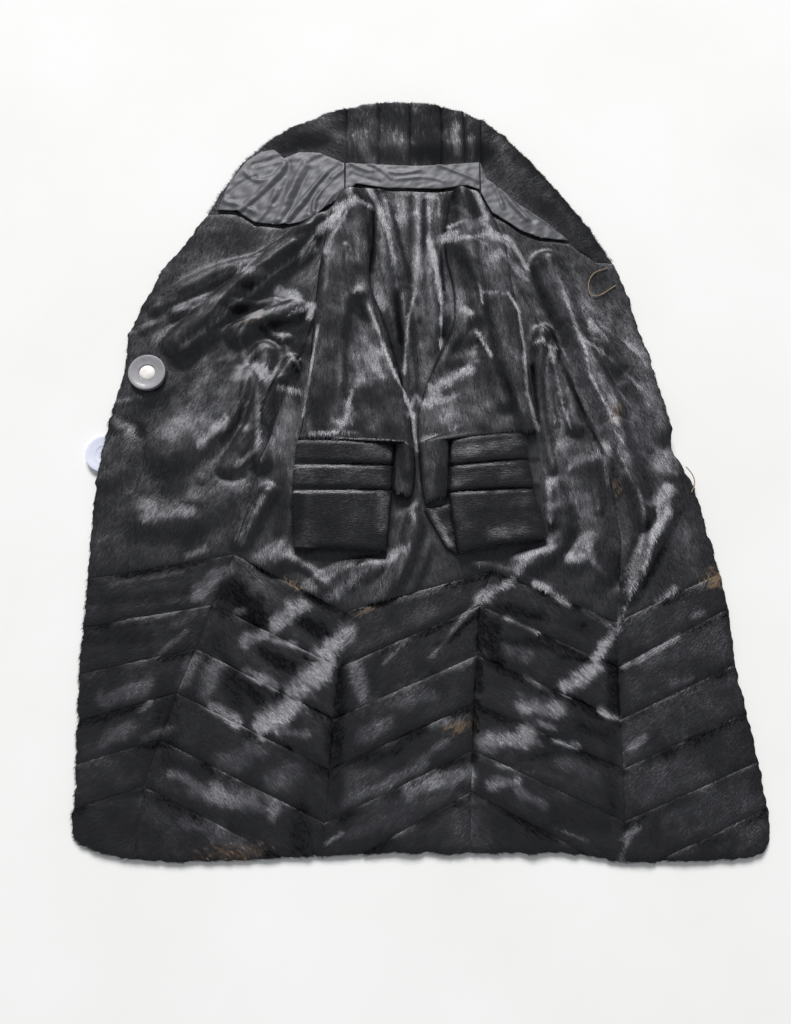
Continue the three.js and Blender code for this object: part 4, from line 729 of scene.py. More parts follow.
def triangle_areas(points, tris):
    a, b, c = points[tris[:, 0]], points[tris[:, 1]], points[tris[:, 2]]
    return 0.5 * np.linalg.norm(np.cross(b - a, c - a), axis=1)


def cut_size(points, true_area):
    """Width and length of the smallest rectangle that the flat piece is cut from, and its area."""
    flat = points[:, :2]
    best = None
    for degrees in range(0, 90, 2):
        turn = math.radians(degrees)
        u = flat[:, 0] * math.cos(turn) + flat[:, 1] * math.sin(turn)
        v = flat[:, 1] * math.cos(turn) - flat[:, 0] * math.sin(turn)
        size = (np.ptp(u), np.ptp(v))
        if best is None or size[0] * size[1] < best[0] * best[1]:
            best = size
    ease = max(1.0, math.sqrt(true_area / (best[0] * best[1])))
    width, length = sorted(s * ease * MM for s in best)
    return width, length, min(true_area * MM * MM, width * length)


def paint(piece, name, values):
    layer = piece.data.attributes.new(name, "FLOAT", "POINT")
    layer.data.foreach_set("value", np.asarray(values, np.float32))


def lay_grain(piece, points, direction):
    """A UV map in metres whose U runs with the nap or the satin's warp, and V across it."""
    layer = piece.data.uv_layers.new(name="grain")
    corners = np.empty(len(piece.data.loops), np.int32)
    piece.data.loops.foreach_get("vertex_index", corners)
    d = np.array(direction, float) / np.linalg.norm(direction)
    flat = points[:, :2] * MM
    uv = np.stack([flat @ d, flat @ np.array([-d[1], d[0]])], axis=1)
    layer.data.foreach_set("uv", uv[corners].astype(np.float32).ravel())


def seen_from_camera(x, y, z):
    """Where points of the coat's drawing fall in the picture."""
    place = metres(np.column_stack([x, y, z])) - CAMERA_PLACE
    up = place[:, 1] * math.cos(CAMERA_TILT) + place[:, 2] * math.sin(CAMERA_TILT)
    deep = place[:, 1] * math.sin(CAMERA_TILT) - place[:, 2] * math.cos(CAMERA_TILT)
    return (PICTURE_MIDDLE[0] + FOCAL_PIXELS * place[:, 0] / deep,
            PICTURE_MIDDLE[1] - FOCAL_PIXELS * up / deep)


def sheen_at(x, y, z, nap, shadowing_seam=None):
    """How much painted highlight the pile gets, or painted shade below 0; the same amount turns its normals
    to or from the light. The last argument is a row's upper seam, under which a painted shadow is laid.
    """
    px, py = seen_from_camera(x, y, z)
    along = (x * nap[0] + y * nap[1]) / np.hypot(*nap)
    across = (y * nap[0] - x * nap[1]) / np.hypot(*nap)
    ragged = 0.07 * ripple(0.4 * along, 1.6 * across, 6, 51)
    ragged += 0.15 * ripple(0.6 * along, across, 12, 52)
    bright = np.zeros(len(px))
    painted_shade = np.zeros(len(px))
    # Strokes of positive strength give painted highlight, those of negative strength painted shade.
    for x1, y1, x2, y2, wide, strength in SHEEN_AND_SHADE_STROKES:
        reach = 2 * wide + 4
        near = (px > min(x1, x2) - reach) & (px < max(x1, x2) + reach)
        near &= (py > min(y1, y2) - reach) & (py < max(y1, y2) + reach)
        if not near.any():
            continue
        away = distance_to_path([(x1, y1), (x2, y2)], px[near], py[near]) / wide
        amount = abs(strength) * (1 - interpolate(away + ragged[near], *STROKE_FADE))
        kept = bright if strength > 0 else painted_shade
        kept[near] = np.maximum(kept[near], amount)
    # Painted shadow on a skirt row, just below the row above it.
    if shadowing_seam is not None:
        band = 1 - interpolate(distance_to_path(shadowing_seam, x, y), *ROW_SHADOW_BAND)
        painted_shade = np.maximum(painted_shade, band * np.clip(0.6 + 0.5 * ripple(x, y, 45, 54), 0, 1))
    return bright - painted_shade * (1 - bright)


def unit(vectors):
    return vectors / np.linalg.norm(vectors, axis=1)[:, None]


def brushed_normals(points, normals, sheen, lean_along, lean_across, nap):
    """Normals of the lying pile, which shines where it faces halfway between the window and the eye."""
    place = metres(points)
    halfway = unit(unit(WINDOW_PLACE - place) + unit(CAMERA_PLACE - place))
    pull = np.where(sheen > 0, SHINE_PULL * sheen, DULL_PULL * sheen)[:, None]
    d = np.array([nap[0], nap[1], 0.0]) / np.hypot(*nap)
    side = np.array([-d[1], d[0], 0.0])
    softened = normals * (FOLD_SHADING, FOLD_SHADING, 1)
    softened[:, 1] -= UPPER_LEAN * interpolate(points[:, 1], *UPPER_REACH)
    return unit(softened + pull * (halfway - softened) + lean_along[:, None] * d
                + lean_across[:, None] * side)


def worn_at(x, y):
    amount = np.zeros(x.shape)
    rough = 0.35 * ripple(x, y, 5, 11)
    for cx, cy, long, wide, turn, strength in WORN:
        t = math.radians(turn)
        u = ((x - cx) * math.cos(t) + (y - cy) * math.sin(t)) / long
        v = ((y - cy) * math.cos(t) - (x - cx) * math.sin(t)) / wide
        amount = np.maximum(amount, strength * (1 - interpolate(np.hypot(u, v) + rough, 0.45, 1.15)))
    return amount


BRUSHED_AMOUNT = 0.3


def brushed(x, y):
    """How the pile has been pushed about, across the nap and along it."""
    across = 0.30 * ripple(x, y, 34, 31) + 0.16 * ripple(x, y, 13, 32)
    along = 0.34 * ripple(x, y, 38, 33) + 0.16 * ripple(x, y, 12, 34)
    return BRUSHED_AMOUNT * across, BRUSHED_AMOUNT * along


def brush(piece, points, tris, upper_count, nap, upright=1, shadowing_seam=None):
    """Turns a pelt's shading normals to the lie of its pile, and paints its sheen attribute: painted
    highlight where it is positive, painted shade where it is negative.
    """
    normals = vertex_normals(points, tris)
    normals[:upper_count, :2] *= np.reshape(upright, (-1, 1))
    x, y, z = points[:upper_count].T
    sheen = sheen_at(x, y, z, nap, shadowing_seam)
    across, along = brushed(x, y)
    normals[:upper_count] = brushed_normals(points[:upper_count], normals[:upper_count], sheen,
                                            LEAN_ALONG * along, LEAN_ACROSS * across, nap)
    piece.data.normals_split_custom_set_from_vertices(normals.tolist())
    paint(piece, "sheen", np.concatenate([sheen, np.zeros(len(points) - upper_count)]))


# Painted shade: the rim attribute darkens a pelt along its seam, for the shade in the groove between pelts.
SEAM_SHADE_WIDTH = 6              # the dark line along a pelt's seam
EDGE_SHADING_WIDTH = 9


def shell(node_name, plan, height, material, slot, nap, step=5.0, floor=0.0, wall=PELT_WALL,
          within_edge=True, lies_on=(), drop=EDGE_DROP, rounding=EDGE_ROUND, rows=(1.6, 3.8),
          shadowing_seam=None):
    """One pelt or cloth panel as a thin closed shell, which stands for its CAD node."""
    flat, tris, away = plan_mesh(plan, step, within_edge, rows)
    x, y = flat[:, 0], flat[:, 1]
    rim_fall = drop * (1 - np.clip(away / rounding, 0, 1) ** 0.6)
    top = np.maximum(height(x, y, away) - rim_fall, floor + 0.6)
    under = np.maximum(top - wall, floor)
    upper = np.column_stack([x, y, top])
    lower = np.column_stack([x, y, under])
    count = len(flat)
    points = np.concatenate([upper, lower])
    faces = tris.tolist() + (tris[:, ::-1] + count).tolist()
    faces += [(b, a, a + count, b + count) for a, b in rim_edges(tris)]
    piece = new_piece(f"{node_name}_piece", points, faces, material)
    paint(piece, "worn", np.tile(worn_at(x, y), 2))
    # Painted shade along the seam, varied in strength along its length.
    seam_shade_strength = np.clip(0.55 + 0.35 * ripple(x, y, 24, 53), 0.15, 1)
    paint(piece, "rim", np.tile((1 - np.clip(away / SEAM_SHADE_WIDTH, 0, 1)) * seam_shade_strength, 2))
    lay_grain(piece, points, nap)
    if slot != "satin":
        upright = 1 - EDGE_SHADING * (1 - np.clip(away / EDGE_SHADING_WIDTH, 0, 1))
        brush(piece, points, np.array(faces[:2 * len(tris)]), count, nap,
              upright * (COLLAR_SHADING if slot == "collar_fur" else 1), shadowing_seam)
    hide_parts(node_name)
    width, length, area = cut_size(upper, triangle_areas(upper, tris).sum())
    pieces[node_name] = {"piece": piece, "points": upper, "tris": tris, "nap": nap,
                    "cut": (width, length, area), "lies_on": lies_on, "with": [], "shadowing_seam": shadowing_seam}


# Materials
def fresh_material(name):
    material = bpy.data.materials.new(name)
    material.use_nodes = True
    nodes = material.node_tree.nodes
    nodes.clear()
    out = nodes.new("ShaderNodeOutputMaterial")
    surface = nodes.new("ShaderNodeBsdfPrincipled")
    material.node_tree.links.new(surface.outputs[0], out.inputs[0])
    return material, surface


def node(material, kind, settings=(), **values):
    made = material.node_tree.nodes.new(kind)
    for name, value in dict(settings).items():
        setattr(made, name, value)
    for name, value in values.items():
        made.inputs[name].default_value = value
    return made


def link(material, source, target):
    material.node_tree.links.new(source, target)


def mixed(material, share, first, second):
    """A colour between two, by a share from 0 to 1."""
    mix = node(material, "ShaderNodeMix", {"data_type": "RGBA"})
    for socket, value in ((mix.inputs[0], share), (mix.inputs[6], first), (mix.inputs[7], second)):
        if hasattr(value, "links"):
            link(material, value, socket)
        else:
            socket.default_value = value
    return mix.outputs[2]


def spread(material, source, low, high, to_low, to_high):
    made = node(material, "ShaderNodeMapRange", {"clamp": True})
    link(material, source, made.inputs["Value"])
    for name, value in (("From Min", low), ("From Max", high), ("To Min", to_low), ("To Max", to_high)):
        made.inputs[name].default_value = value
    return made.outputs[0]


def grey(value, blue=1.0):
    return (value, value, value * blue, 1)


def noise(material, vector, **values):
    made = node(material, "ShaderNodeTexNoise", **values)
    link(material, vector, made.inputs["Vector"])
    return made.outputs[0]


def clouds(material, **values):
    """Noise in the object's own metres."""
    return noise(material, node(material, "ShaderNodeTexCoord").outputs["Object"], **values)


def streaks(material, along, across, **values):
    """Noise in lines with the grain: how many to the metre along it and across it."""
    grain = node(material, "ShaderNodeUVMap", {"uv_map": "grain"})
    stretched = node(material, "ShaderNodeMapping")
    stretched.inputs["Scale"].default_value = (along, across, 1)
    link(material, grain.outputs[0], stretched.inputs[0])
    return noise(material, stretched.outputs[0], Scale=1.0, **values)


def attribute(material, name):
    return node(material, "ShaderNodeAttribute", {"attribute_name": name}).outputs["Fac"]


def raise_bumps(material, surface, height, strength, distance):
    bump = node(material, "ShaderNodeBump", Strength=strength, Distance=distance)
    link(material, height, bump.inputs["Height"])
    link(material, bump.outputs[0], surface.inputs["Normal"])


def set_values(surface, values):
    for name, value in values.items():
        surface.inputs[name].default_value = value


COLD_SHINE = (0.94, 0.94, 1.0, 1)


def pile_under(name, dark, light, gloss):
    """The dense short pile seen between the longer hairs: streaks along the nap, worn places, painted
    highlight and painted shade from the sheen attribute, and painted shade along the seams from the rim
    attribute.
    """
    material, surface = fresh_material(name)
    hair = streaks(material, 70, 620, Detail=3.0, Roughness=0.6)
    clump = clouds(material, Scale=34.0, Detail=4.0, Roughness=0.62)
    shade = mixed(material, spread(material, clump, 0.35, 0.68, 0, 1), dark, light)
    sheen = attribute(material, "sheen")
    # Painted highlight where the sheen attribute is above 0, painted shade towards black where it is below 0.
    shade = mixed(material, spread(material, sheen, 0.1, 1, 0, 1), shade, grey(0.045, 1.15))
    shade = mixed(material, spread(material, sheen, -1, 0, 0.75, 0), shade, grey(0.001))
    # Painted shade along each pelt's seam, from the rim attribute.
    shade = mixed(material, spread(material, attribute(material, "rim"), 0, 1, 0, 0.9), shade, grey(0.002))
    tan = mixed(material, spread(material, hair, 0.35, 0.65, 0, 1),
                (0.075, 0.045, 0.024, 1), (0.23, 0.16, 0.10, 1))
    link(material, mixed(material, attribute(material, "worn"), shade, tan), surface.inputs["Base Color"])
    link(material, spread(material, hair, 0.3, 0.7, 0.3, 0.54), surface.inputs["Roughness"])
    raise_bumps(material, surface, hair, 0.5, 0.0012)
    set_values(surface, {"Specular IOR Level": gloss, "Specular Tint": COLD_SHINE, "Sheen Weight": 0.06,
                         "Sheen Roughness": 0.35, "Sheen Tint": (0.75, 0.78, 0.9, 1)})
    return material


def hair_colour(name, colour, roughness, gloss=0.62):
    material, surface = fresh_material(name)
    set_values(surface, {"Base Color": colour, "Roughness": roughness, "Specular IOR Level": gloss,
                         "Specular Tint": COLD_SHINE})
    return material


def satin_cloth():
    """Grey satin: fine warp lines, soft mottling and a soft coat of sheen."""
    material, surface = fresh_material("satin_grey")
    warp = streaks(material, 60, 2400, Detail=2.0, Roughness=0.5)
    cloud = clouds(material, Scale=22.0, Detail=4.0, Roughness=0.6)
    colour = mixed(material, spread(material, cloud, 0.35, 0.65, 0, 1),
                   (0.043, 0.043, 0.053, 1), (0.066, 0.066, 0.078, 1))
    streaked = mixed(material, spread(material, warp, 0.4, 0.7, 0, 0.25), colour,
                     (0.105, 0.105, 0.118, 1))
    link(material, streaked, surface.inputs["Base Color"])
    link(material, spread(material, warp, 0.3, 0.7, 0.42, 0.55), surface.inputs["Roughness"])
    raise_bumps(material, surface, warp, 0.25, 0.0004)
    set_values(surface, {"Sheen Weight": 0.1, "Anisotropic": 0.4})
    return material


def button_shell(name, first, second, scale, roughness, coat):
    """Cloudy moulded plastic with a polished coat."""
    material, surface = fresh_material(name)
    cloud = clouds(material, Scale=scale, Detail=3.0, Roughness=0.55, Distortion=0.8)
    link(material, mixed(material, spread(material, cloud, 0.32, 0.68, 0, 1), first, second),
         surface.inputs["Base Color"])
    link(material, spread(material, cloud, 0.3, 0.7, roughness, roughness + 0.12),
         surface.inputs["Roughness"])
    set_values(surface, {"Coat Weight": coat, "Coat Roughness": 0.12})
    return material


def loop_thread():
    material, surface = fresh_material("loop_thread")
    fluff = clouds(material, Scale=900.0, Detail=2.0, Roughness=0.6)
    link(material, mixed(material, spread(material, fluff, 0.35, 0.65, 0, 1),
                         (0.20, 0.13, 0.075, 1), (0.42, 0.31, 0.20, 1)), surface.inputs["Base Color"])
    set_values(surface, {"Roughness": 0.8})
    raise_bumps(material, surface, fluff, 0.4, 0.0003)
    return material


body_pile = pile_under("fur_body", grey(0.004, 1.15), grey(0.012, 1.15), gloss=0.7)
skirt_pile = pile_under("fur_skirt", grey(0.003, 1.2), grey(0.008, 1.2), gloss=0.45)
collar_pile = pile_under("fur_collar", grey(0.003, 1.15), grey(0.008, 1.15), gloss=0.36)
cuff_pile = pile_under("fur_cuff", grey(0.003, 1.1), grey(0.007, 1.1), gloss=0.4)
satin = satin_cloth()
rim_plastic = button_shell("button_rim_grey", (0.23, 0.225, 0.24, 1), (0.28, 0.27, 0.29, 1),
                           scale=60.0, roughness=0.42, coat=0.2)
back_plastic = button_shell("button_back_bluish", (0.62, 0.64, 0.76, 1), (0.72, 0.73, 0.84, 1),
                            scale=40.0, roughness=0.4, coat=0.2)
pearl_plastic = button_shell("button_pearl_white", (0.84, 0.74, 0.68, 1), (0.93, 0.91, 0.89, 1),
                             scale=90.0, roughness=0.18, coat=0.9)
thread = loop_thread()
# The two lightest greys are lit copies of the black hair, painted highlight, and hair_shaded is painted
# shade; black and soot vary at random, black also takes painted shade, and tan is real wear.
HAIRS = [
    hair_colour("hair_black", grey(0.005, 1.15), 0.40),
    hair_colour("hair_soot", grey(0.009, 1.15), 0.40),
    hair_colour("hair_painted_half_light", grey(0.018, 1.15), 0.38),
    hair_colour("hair_painted_highlight", grey(0.040, 1.12), 0.36),
    hair_colour("hair_tan", (0.17, 0.105, 0.055, 1), 0.5),
    hair_colour("hair_shaded", grey(0.002, 1.15), 0.6, gloss=0.12),
]
BLACK, SOOT, PAINTED_HALF_LIGHT, PAINTED_HIGHLIGHT, TAN, SHADED = range(len(HAIRS))

# Layers that lie on the body keep its folds down
SLEEVE_PLANS = [
    [s[0] for s in rows] + [s[1] for s in reversed(rows)]
    for rows in (LEFT_SLEEVE + [((-188, -50), (0, -54), 1), ((-188, -88), (-6, -92), 1)],
                 RIGHT_SLEEVE + [((7, -55), (198, -48), 1), ((14, -102), (200, -95), 1)])
]


def cuff_plan(rings):
    lefts = [rings[0][0][0]] + [ring[1][0] for ring in rings]
    rights = [rings[0][0][1]] + [ring[1][1] for ring in rings]
    return lefts + rights[::-1]


CUFF_PLANS = [cuff_plan(LEFT_CUFF), cuff_plan(RIGHT_CUFF), CUFF_UNDERLAP]
BUTTON_SEAT = [(UPPER_BUTTON[0] + (BUTTON_RADIUS + 2) * math.cos(k * math.pi / 8),
                UPPER_BUTTON[1] + (BUTTON_RADIUS + 2) * math.sin(k * math.pi / 8)) for k in range(16)]


def loop_seat(points):
    (x0, y0), (x1, y1) = np.min(points, axis=0) - 7, np.max(points, axis=0) + 7
    return [(x0, y0), (x1, y0), (x1, y1), (x0, y1)]


COVERED = SLEEVE_PLANS + CUFF_PLANS
PRESSED = COVERED + [BUTTON_SEAT, loop_seat(UPPER_LOOP), loop_seat(LOWER_LOOP)]


def body_height(x, y, away):
    beside = np.min([distance_to_plan(plan, x, y) for plan in PRESSED], axis=0)
    free = interpolate(beside, 2, 26)
    soft = 0.45 * ripple(x, y, 30, 1) + 0.10 * ripple(x, y, 11, 2)
    return PELT_TOP + (relief(BODY_FOLDS, x, y) + relief(BODY_CREASES, x, y) + soft) * free


SEAM_GAP = 0.3
top_row = list(zip(SKIRT_ROWS[0]["x"], SKIRT_ROWS[0]["y"]))
BODY_PLANS = {
    "front_left": COLLAR_SEAM[:LEFT_NECK] + LEFT_SIDE + [top_row[0]],
    "back": COLLAR_SEAM[LEFT_NECK + 1:RIGHT_NECK] + RIGHT_SIDE + [top_row[3], top_row[2]] + LEFT_SIDE[::-1],
    "front_right": COLLAR_SEAM[RIGHT_NECK + 1:] + [top_row[5]] + RIGHT_SIDE[::-1],
}
BODY_NAP = {"front_left": (-0.45, -1), "back": (0.02, -1), "front_right": (0.35, -1)}
for name, plan in BODY_PLANS.items():
    shell(name, inset(plan, SEAM_GAP / 2), body_height, body_pile, "fur", BODY_NAP[name],
          drop=2.6, rounding=6)


def skirt_height(x, y, away):
    crown = SKIN_CROWN - (GROOVE - EDGE_DROP) * (1 - np.clip(away / 9, 0, 1))
    soft = 0.35 * ripple(x, y, 26, 3) + 0.08 * ripple(x, y, 9, 4)
    return PELT_TOP + crown + relief(SKIRT_FOLDS, x, y) + soft


for c, column in enumerate(SKIRT_COLUMNS):
    for r in range(len(SKIRT_ROWS) - 1):
        upper, lower = SKIRT_ROWS[r], SKIRT_ROWS[r + 1]
        corners = [(lower["x"][c], lower["y"][c]), (lower["x"][c + 1], lower["y"][c + 1]),
                   (upper["x"][c + 1], upper["y"][c + 1]), (upper["x"][c], upper["y"][c])]
        skin = f"skirt_{column}_skin_{r + 1}"
        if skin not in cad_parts:
            continue
        run = np.subtract(corners[1], corners[0])
        nap = run if run[1] < 0 else -run
        nap = nap / np.linalg.norm(nap) + np.array([0, -0.5])
        # Each skin gets a painted shadow just below its upper seam.
        shell(skin, inset(corners, SEAM_GAP / 2), skirt_height, skirt_pile, "skirt_fur", nap,
              shadowing_seam=corners[2:])


# Collar: its edge rolls up over the satin of the under-collar
ROLL_WIDTH = 34
ROLL_HEIGHT = 12.0
COLLAR_ENDS = (-519, 479)
PAST_THE_TOP = 660
SATINS = {"left": SATIN_LEFT, "neck": SATIN_NECK, "right": SATIN_RIGHT}


def collar_height(x, y, away):
    to_edge = distance_to_points(EDGE_LINE, x, y)
    to_satin = np.min([distance_to_plan(plan, x, y) for plan in SATINS.values()], axis=0)
    roll = np.sqrt(np.clip(to_edge / ROLL_WIDTH, 0.0, 1))
    spare = interpolate(to_satin, 1, ROLL_WIDTH)
    tail = interpolate(y, 300, 380)
    soft = 0.4 * ripple(x, y, 24, 7)
    return PELT_TOP - 0.8 + (ROLL_HEIGHT * roll * spare + soft * spare) * tail + 0.6 * (1 - tail)


def collar_plan(x0, x1):
    """The collar between two lengthwise seams: its neck seam, and past the edge at the top."""
    seam = [p for p in COLLAR_SEAM if x0 < p[0] < x1]
    heights = np.interp([x0, x1], [p[0] for p in COLLAR_SEAM], [p[1] for p in COLLAR_SEAM])
    return [(x0, heights[0])] + seam + [(x1, heights[1]), (x1, PAST_THE_TOP), (x0, PAST_THE_TOP)]


def collar_pelt(node_name, x0, x1, nap, drop):
    shell(node_name, inset(collar_plan(x0, x1), SEAM_GAP / 2), collar_height, collar_pile, "collar_fur", nap,
          drop=drop, rounding=8)


for k in range(len(COLLAR_SKINS) - 1):
    collar_pelt(f"collar_back_skin_{k + 1}", COLLAR_SKINS[k], COLLAR_SKINS[k + 1], (0, 1), drop=5.0)
collar_pelt("collar_left", COLLAR_ENDS[0], COLLAR_SKINS[0], (-0.8, 0.6), drop=3.0)
collar_pelt("collar_right", COLLAR_SKINS[-1], COLLAR_ENDS[1], (0.8, 0.6), drop=3.0)


SATIN_RELIEF = 0.65


def satin_height(x, y, away):
    beside = np.min([distance_to_plan(plan, x, y) for plan in SLEEVE_PLANS], axis=0)
    creases = SATIN_RELIEF * relief(SATIN_FOLDS, x, y) * interpolate(beside, 0, 12)
    soft = 0.25 * (1 + ripple(x, y, 12, 8)) + 0.12 * (1 + ripple(x, y, 5, 9))
    return SATIN_FLOOR + SATIN_WALL + creases + soft


for side, plan in SATINS.items():
    shell(f"under_collar_{side}", inset(plan, SEAM_GAP / 2), satin_height, satin, "satin", (0.05, 1),
          step=2.6, floor=SATIN_FLOOR, wall=SATIN_WALL, within_edge=False, drop=0.25, rounding=1.8,
          rows=(1.2,), lies_on=("collar_left", "collar_right"))


# Sleeves and cuffs: flattened tubes of two layers
def smooth_stations(stations, step):
    """Stations at about every step along the sleeve, on smooth lines through the given ones."""
    rows = past_ends(np.array([[*s[0], *s[1], s[2]] for s in stations], float))
    out = []
    for i in range(1, len(rows) - 2):
        p0, p1, p2, p3 = rows[i - 1:i + 3]
        length = np.linalg.norm((p2[:2] + p2[2:4]) / 2 - (p1[:2] + p1[2:4]) / 2)
        stretches = max(int(length / step), 1)
        out += [between(p0, p1, p2, p3, t) for t in np.arange(stretches) / stretches]
    return np.array(out + [rows[-2]])


LOW_COUNT = 6              # faces across a tube's underside
LOW_CORNER = 2.5           # how far its lower corners are lifted
TUBE_SIDE = 6              # how high its sides stand
WORN_ABOVE = 16            # only a tube's upper side shows wear


def tube_ring(row, inward, height, top_count):
    left, right = row[:2], row[2:4]
    margin = SLEEVE_WALL / np.linalg.norm(right - left) if inward else 0
    up = margin + (1 - 2 * margin) * 0.5 * (1 - np.cos(np.pi * np.arange(top_count + 1) / top_count))
    down = (1 - margin) - (1 - 2 * margin) * np.arange(LOW_COUNT + 1) / LOW_COUNT
    share = np.concatenate([up, down])
    flat = left + (right - left) * share[:, None]
    z = np.empty(len(share))
    top = height(flat[:top_count + 1, 0], flat[:top_count + 1, 1], up, row[4])
    if inward:
        z[:top_count + 1] = np.maximum(top - SLEEVE_WALL, SLEEVE_FLOOR + SLEEVE_WALL + 0.8)
        z[top_count + 1:] = SLEEVE_FLOOR + SLEEVE_WALL
    else:
        z[:top_count + 1] = top
        z[top_count + 1:] = SLEEVE_FLOOR
        z[[top_count + 1, -1]] += LOW_CORNER
    return np.column_stack([flat, z])


def tube_faces(outer_rings, inner_rings, ring, closed_head):
    """Faces of a tube's outer and inner walls, and of its two ends."""
    base = outer_rings * ring
    around = [(k, (k + 1) % ring) for k in range(ring)]
    faces = []
    for a in range(0, base - ring, ring):
        faces += [(a + k, a + ring + k, a + ring + n, a + n) for k, n in around]
    last_outer, last_inner = base - ring, base + (inner_rings - 1) * ring
    for a in range(base, last_inner, ring):
        faces += [(a + k, a + n, a + ring + n, a + ring + k) for k, n in around]
    faces += [(last_outer + k, last_inner + k, last_inner + n, last_outer + n) for k, n in around]
    if closed_head:
        faces.append(tuple(range(ring)))
        faces.append(tuple(base + k for k in reversed(range(ring))))
    else:
        faces += [(k, n, base + n, base + k) for k, n in around]
    return faces


def tube(node_name, sections, height, material, nap, closed_head, top_count):
    """A tube pressed flat. sections are runs of stations; a later run may be narrower than the one before."""
    rows = np.vstack(sections)
    ring = top_count + LOW_COUNT + 2
    inner_rows = rows[1:] if closed_head else rows
    outer = np.vstack([tube_ring(r, False, height, top_count) for r in rows])
    inner = np.vstack([tube_ring(r, True, height, top_count) for r in inner_rows])
    points = np.vstack([outer, inner])
    faces = tube_faces(len(rows), len(inner_rows), ring, closed_head)
    piece = new_piece(f"{node_name}_piece", points, faces, material)
    paint(piece, "worn", worn_at(points[:, 0], points[:, 1]) * (points[:, 2] > WORN_ABOVE))
    paint(piece, "rim", np.zeros(len(points)))
    lay_grain(piece, points, nap)
    quads = np.array([f for f in faces if len(f) == 4])
    brush(piece, points, np.concatenate([quads[:, [0, 1, 2]], quads[:, [0, 2, 3]]]), len(outer), nap)
    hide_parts(node_name)
    step_wall = len(sections[0]) - 1 if len(sections) > 1 else None
    tris = []
    for s in range(len(rows) - 1):
        for k in range(top_count if s != step_wall else 0):
            a, b = s * ring + k, (s + 1) * ring + k
            tris += [(a, b, b + 1), (a, b + 1, a + 1)]
    length = np.hypot(*(rows[:, :2] + rows[:, 2:4] - rows[[0], :2] - rows[[0], 2:4]).T / 2).max()
    widths = np.linalg.norm(rows[:, 2:4] - rows[:, :2], axis=1)
    width = 2 * widths.max() + 2 * SLEEVE_FULL
    area = (2 * widths.mean() + 2 * SLEEVE_FULL) * length
    pieces[node_name] = {"piece": piece, "points": outer, "tris": np.array(tris), "nap": nap,
                         "cut": (width * MM, length * MM, area * MM * MM), "lies_on": ("back",),
                         "with": [], "shadowing_seam": None}


def sleeve_height(x, y, share, bulk):
    arch = np.maximum(np.sin(np.pi * share), 0)
    side = TUBE_SIDE + (SLEEVE_FULL - TUBE_SIDE) * bulk * arch ** 0.3
    fold = np.maximum(relief(SLEEVE_FOLDS, x, y), -3) * arch
    soft = (0.5 * ripple(x, y, 28, 21) + 0.12 * ripple(x, y, 10, 22)) * arch
    return SLEEVE_FLOOR + side + fold + soft


def cuff_height(x, y, share, bulk):
    arch = np.maximum(np.sin(np.pi * share), 0)
    soft = (0.25 * ripple(x, y, 26, 23) + 0.08 * ripple(x, y, 8, 24)) * arch
    return SLEEVE_FLOOR + TUBE_SIDE + (CUFF_FULL - TUBE_SIDE) * bulk * arch ** 0.22 + soft


for side, stations, overhang, nap in (("left", LEFT_SLEEVE, LEFT_OVERHANG, (0.05, -1)),
                                      ("right", RIGHT_SLEEVE, RIGHT_OVERHANG, (0.1, -1))):
    runs = [smooth_stations(stations, 4.0), smooth_stations(overhang, 4.0)]
    tube(f"sleeve_{side}", runs, sleeve_height, body_pile, nap, closed_head=True, top_count=34)


def cuff_sections(ring):
    (a, b), (c, d) = (np.array(e, float) for e in ring)
    length = abs((c + d - a - b)[1]) / 2
    count = max(int(length / 3), 6)
    shares = 0.5 * (1 - np.cos(np.pi * np.arange(count + 1) / count))
    shares = 0.4 * shares + 0.6 * np.arange(count + 1) / count
    gap = SEAM_GAP / 2 / length
    rows = []
    for share in shares:
        t = min(max(share, gap), 1 - gap)
        away = min(t, 1 - t) * length
        full = 1 - 0.3 * (1 - min(away / 8, 1)) ** 2
        rows.append([*(a + (c - a) * t), *(b + (d - b) * t), full])
    return np.array(rows)


for side, rings, nap in (("left", LEFT_CUFF, (-1, -0.15)), ("right", RIGHT_CUFF, (1, -0.05))):
    for k, ring in enumerate(rings):
        tube(f"cuff_{side}_skin_{k + 1}", [cuff_sections(ring)], cuff_height, cuff_pile, nap,
             closed_head=False, top_count=30)


def underlap_height(x, y, away):
    return SLEEVE_FLOOR + 8.0 + 0.4 * ripple(x, y, 14, 25)


shell("cuff_right_underlap", CUFF_UNDERLAP, underlap_height, cuff_pile, "cuff_fur", (0.9, -0.4),
      step=4.0, floor=SLEEVE_FLOOR, wall=6.0, within_edge=False, lies_on=("back",))


# Pile: short hairs that lie with the nap
HAIRS_PER_MM2 = 0.19
HAIR_LENGTH = 8.0
HAIR_WIDTH = 0.62
HAIR_SPREAD = 0.09         # how far single hairs turn from the nap, in radians,
HAIR_STRAY = 0.8           # and how far their tips bend aside
HAIR_SUNK = 0.3            # how deep a hair starts in its pelt
LOWEST_HAIR = 0.4          # no hair comes nearer to the floor
WORN_BARE = 0.65           # share of the hairs that the most worn places have lost,
WORN_TAN = 0.8             # and share of those left that have lost their dye


def hairs_on(source, random):
    """Roots and normals of the hairs on one piece's upper side."""
    points, tris = source["points"], source["tris"]
    area = triangle_areas(points, tris)
    count = int(area.sum() * HAIRS_PER_MM2)
    which = random.choice(len(tris), count, p=area / area.sum())
    u, v = random.random(count), random.random(count)
    over = u + v > 1
    u[over], v[over] = 1 - u[over], 1 - v[over]
    weights = np.column_stack([1 - u - v, u, v])
    normals = vertex_normals(points, tris)
    root = np.einsum("nk,nkd->nd", weights, points[tris[which]])
    normal = np.einsum("nk,nkd->nd", weights, normals[tris[which]])
    return root, unit(normal)


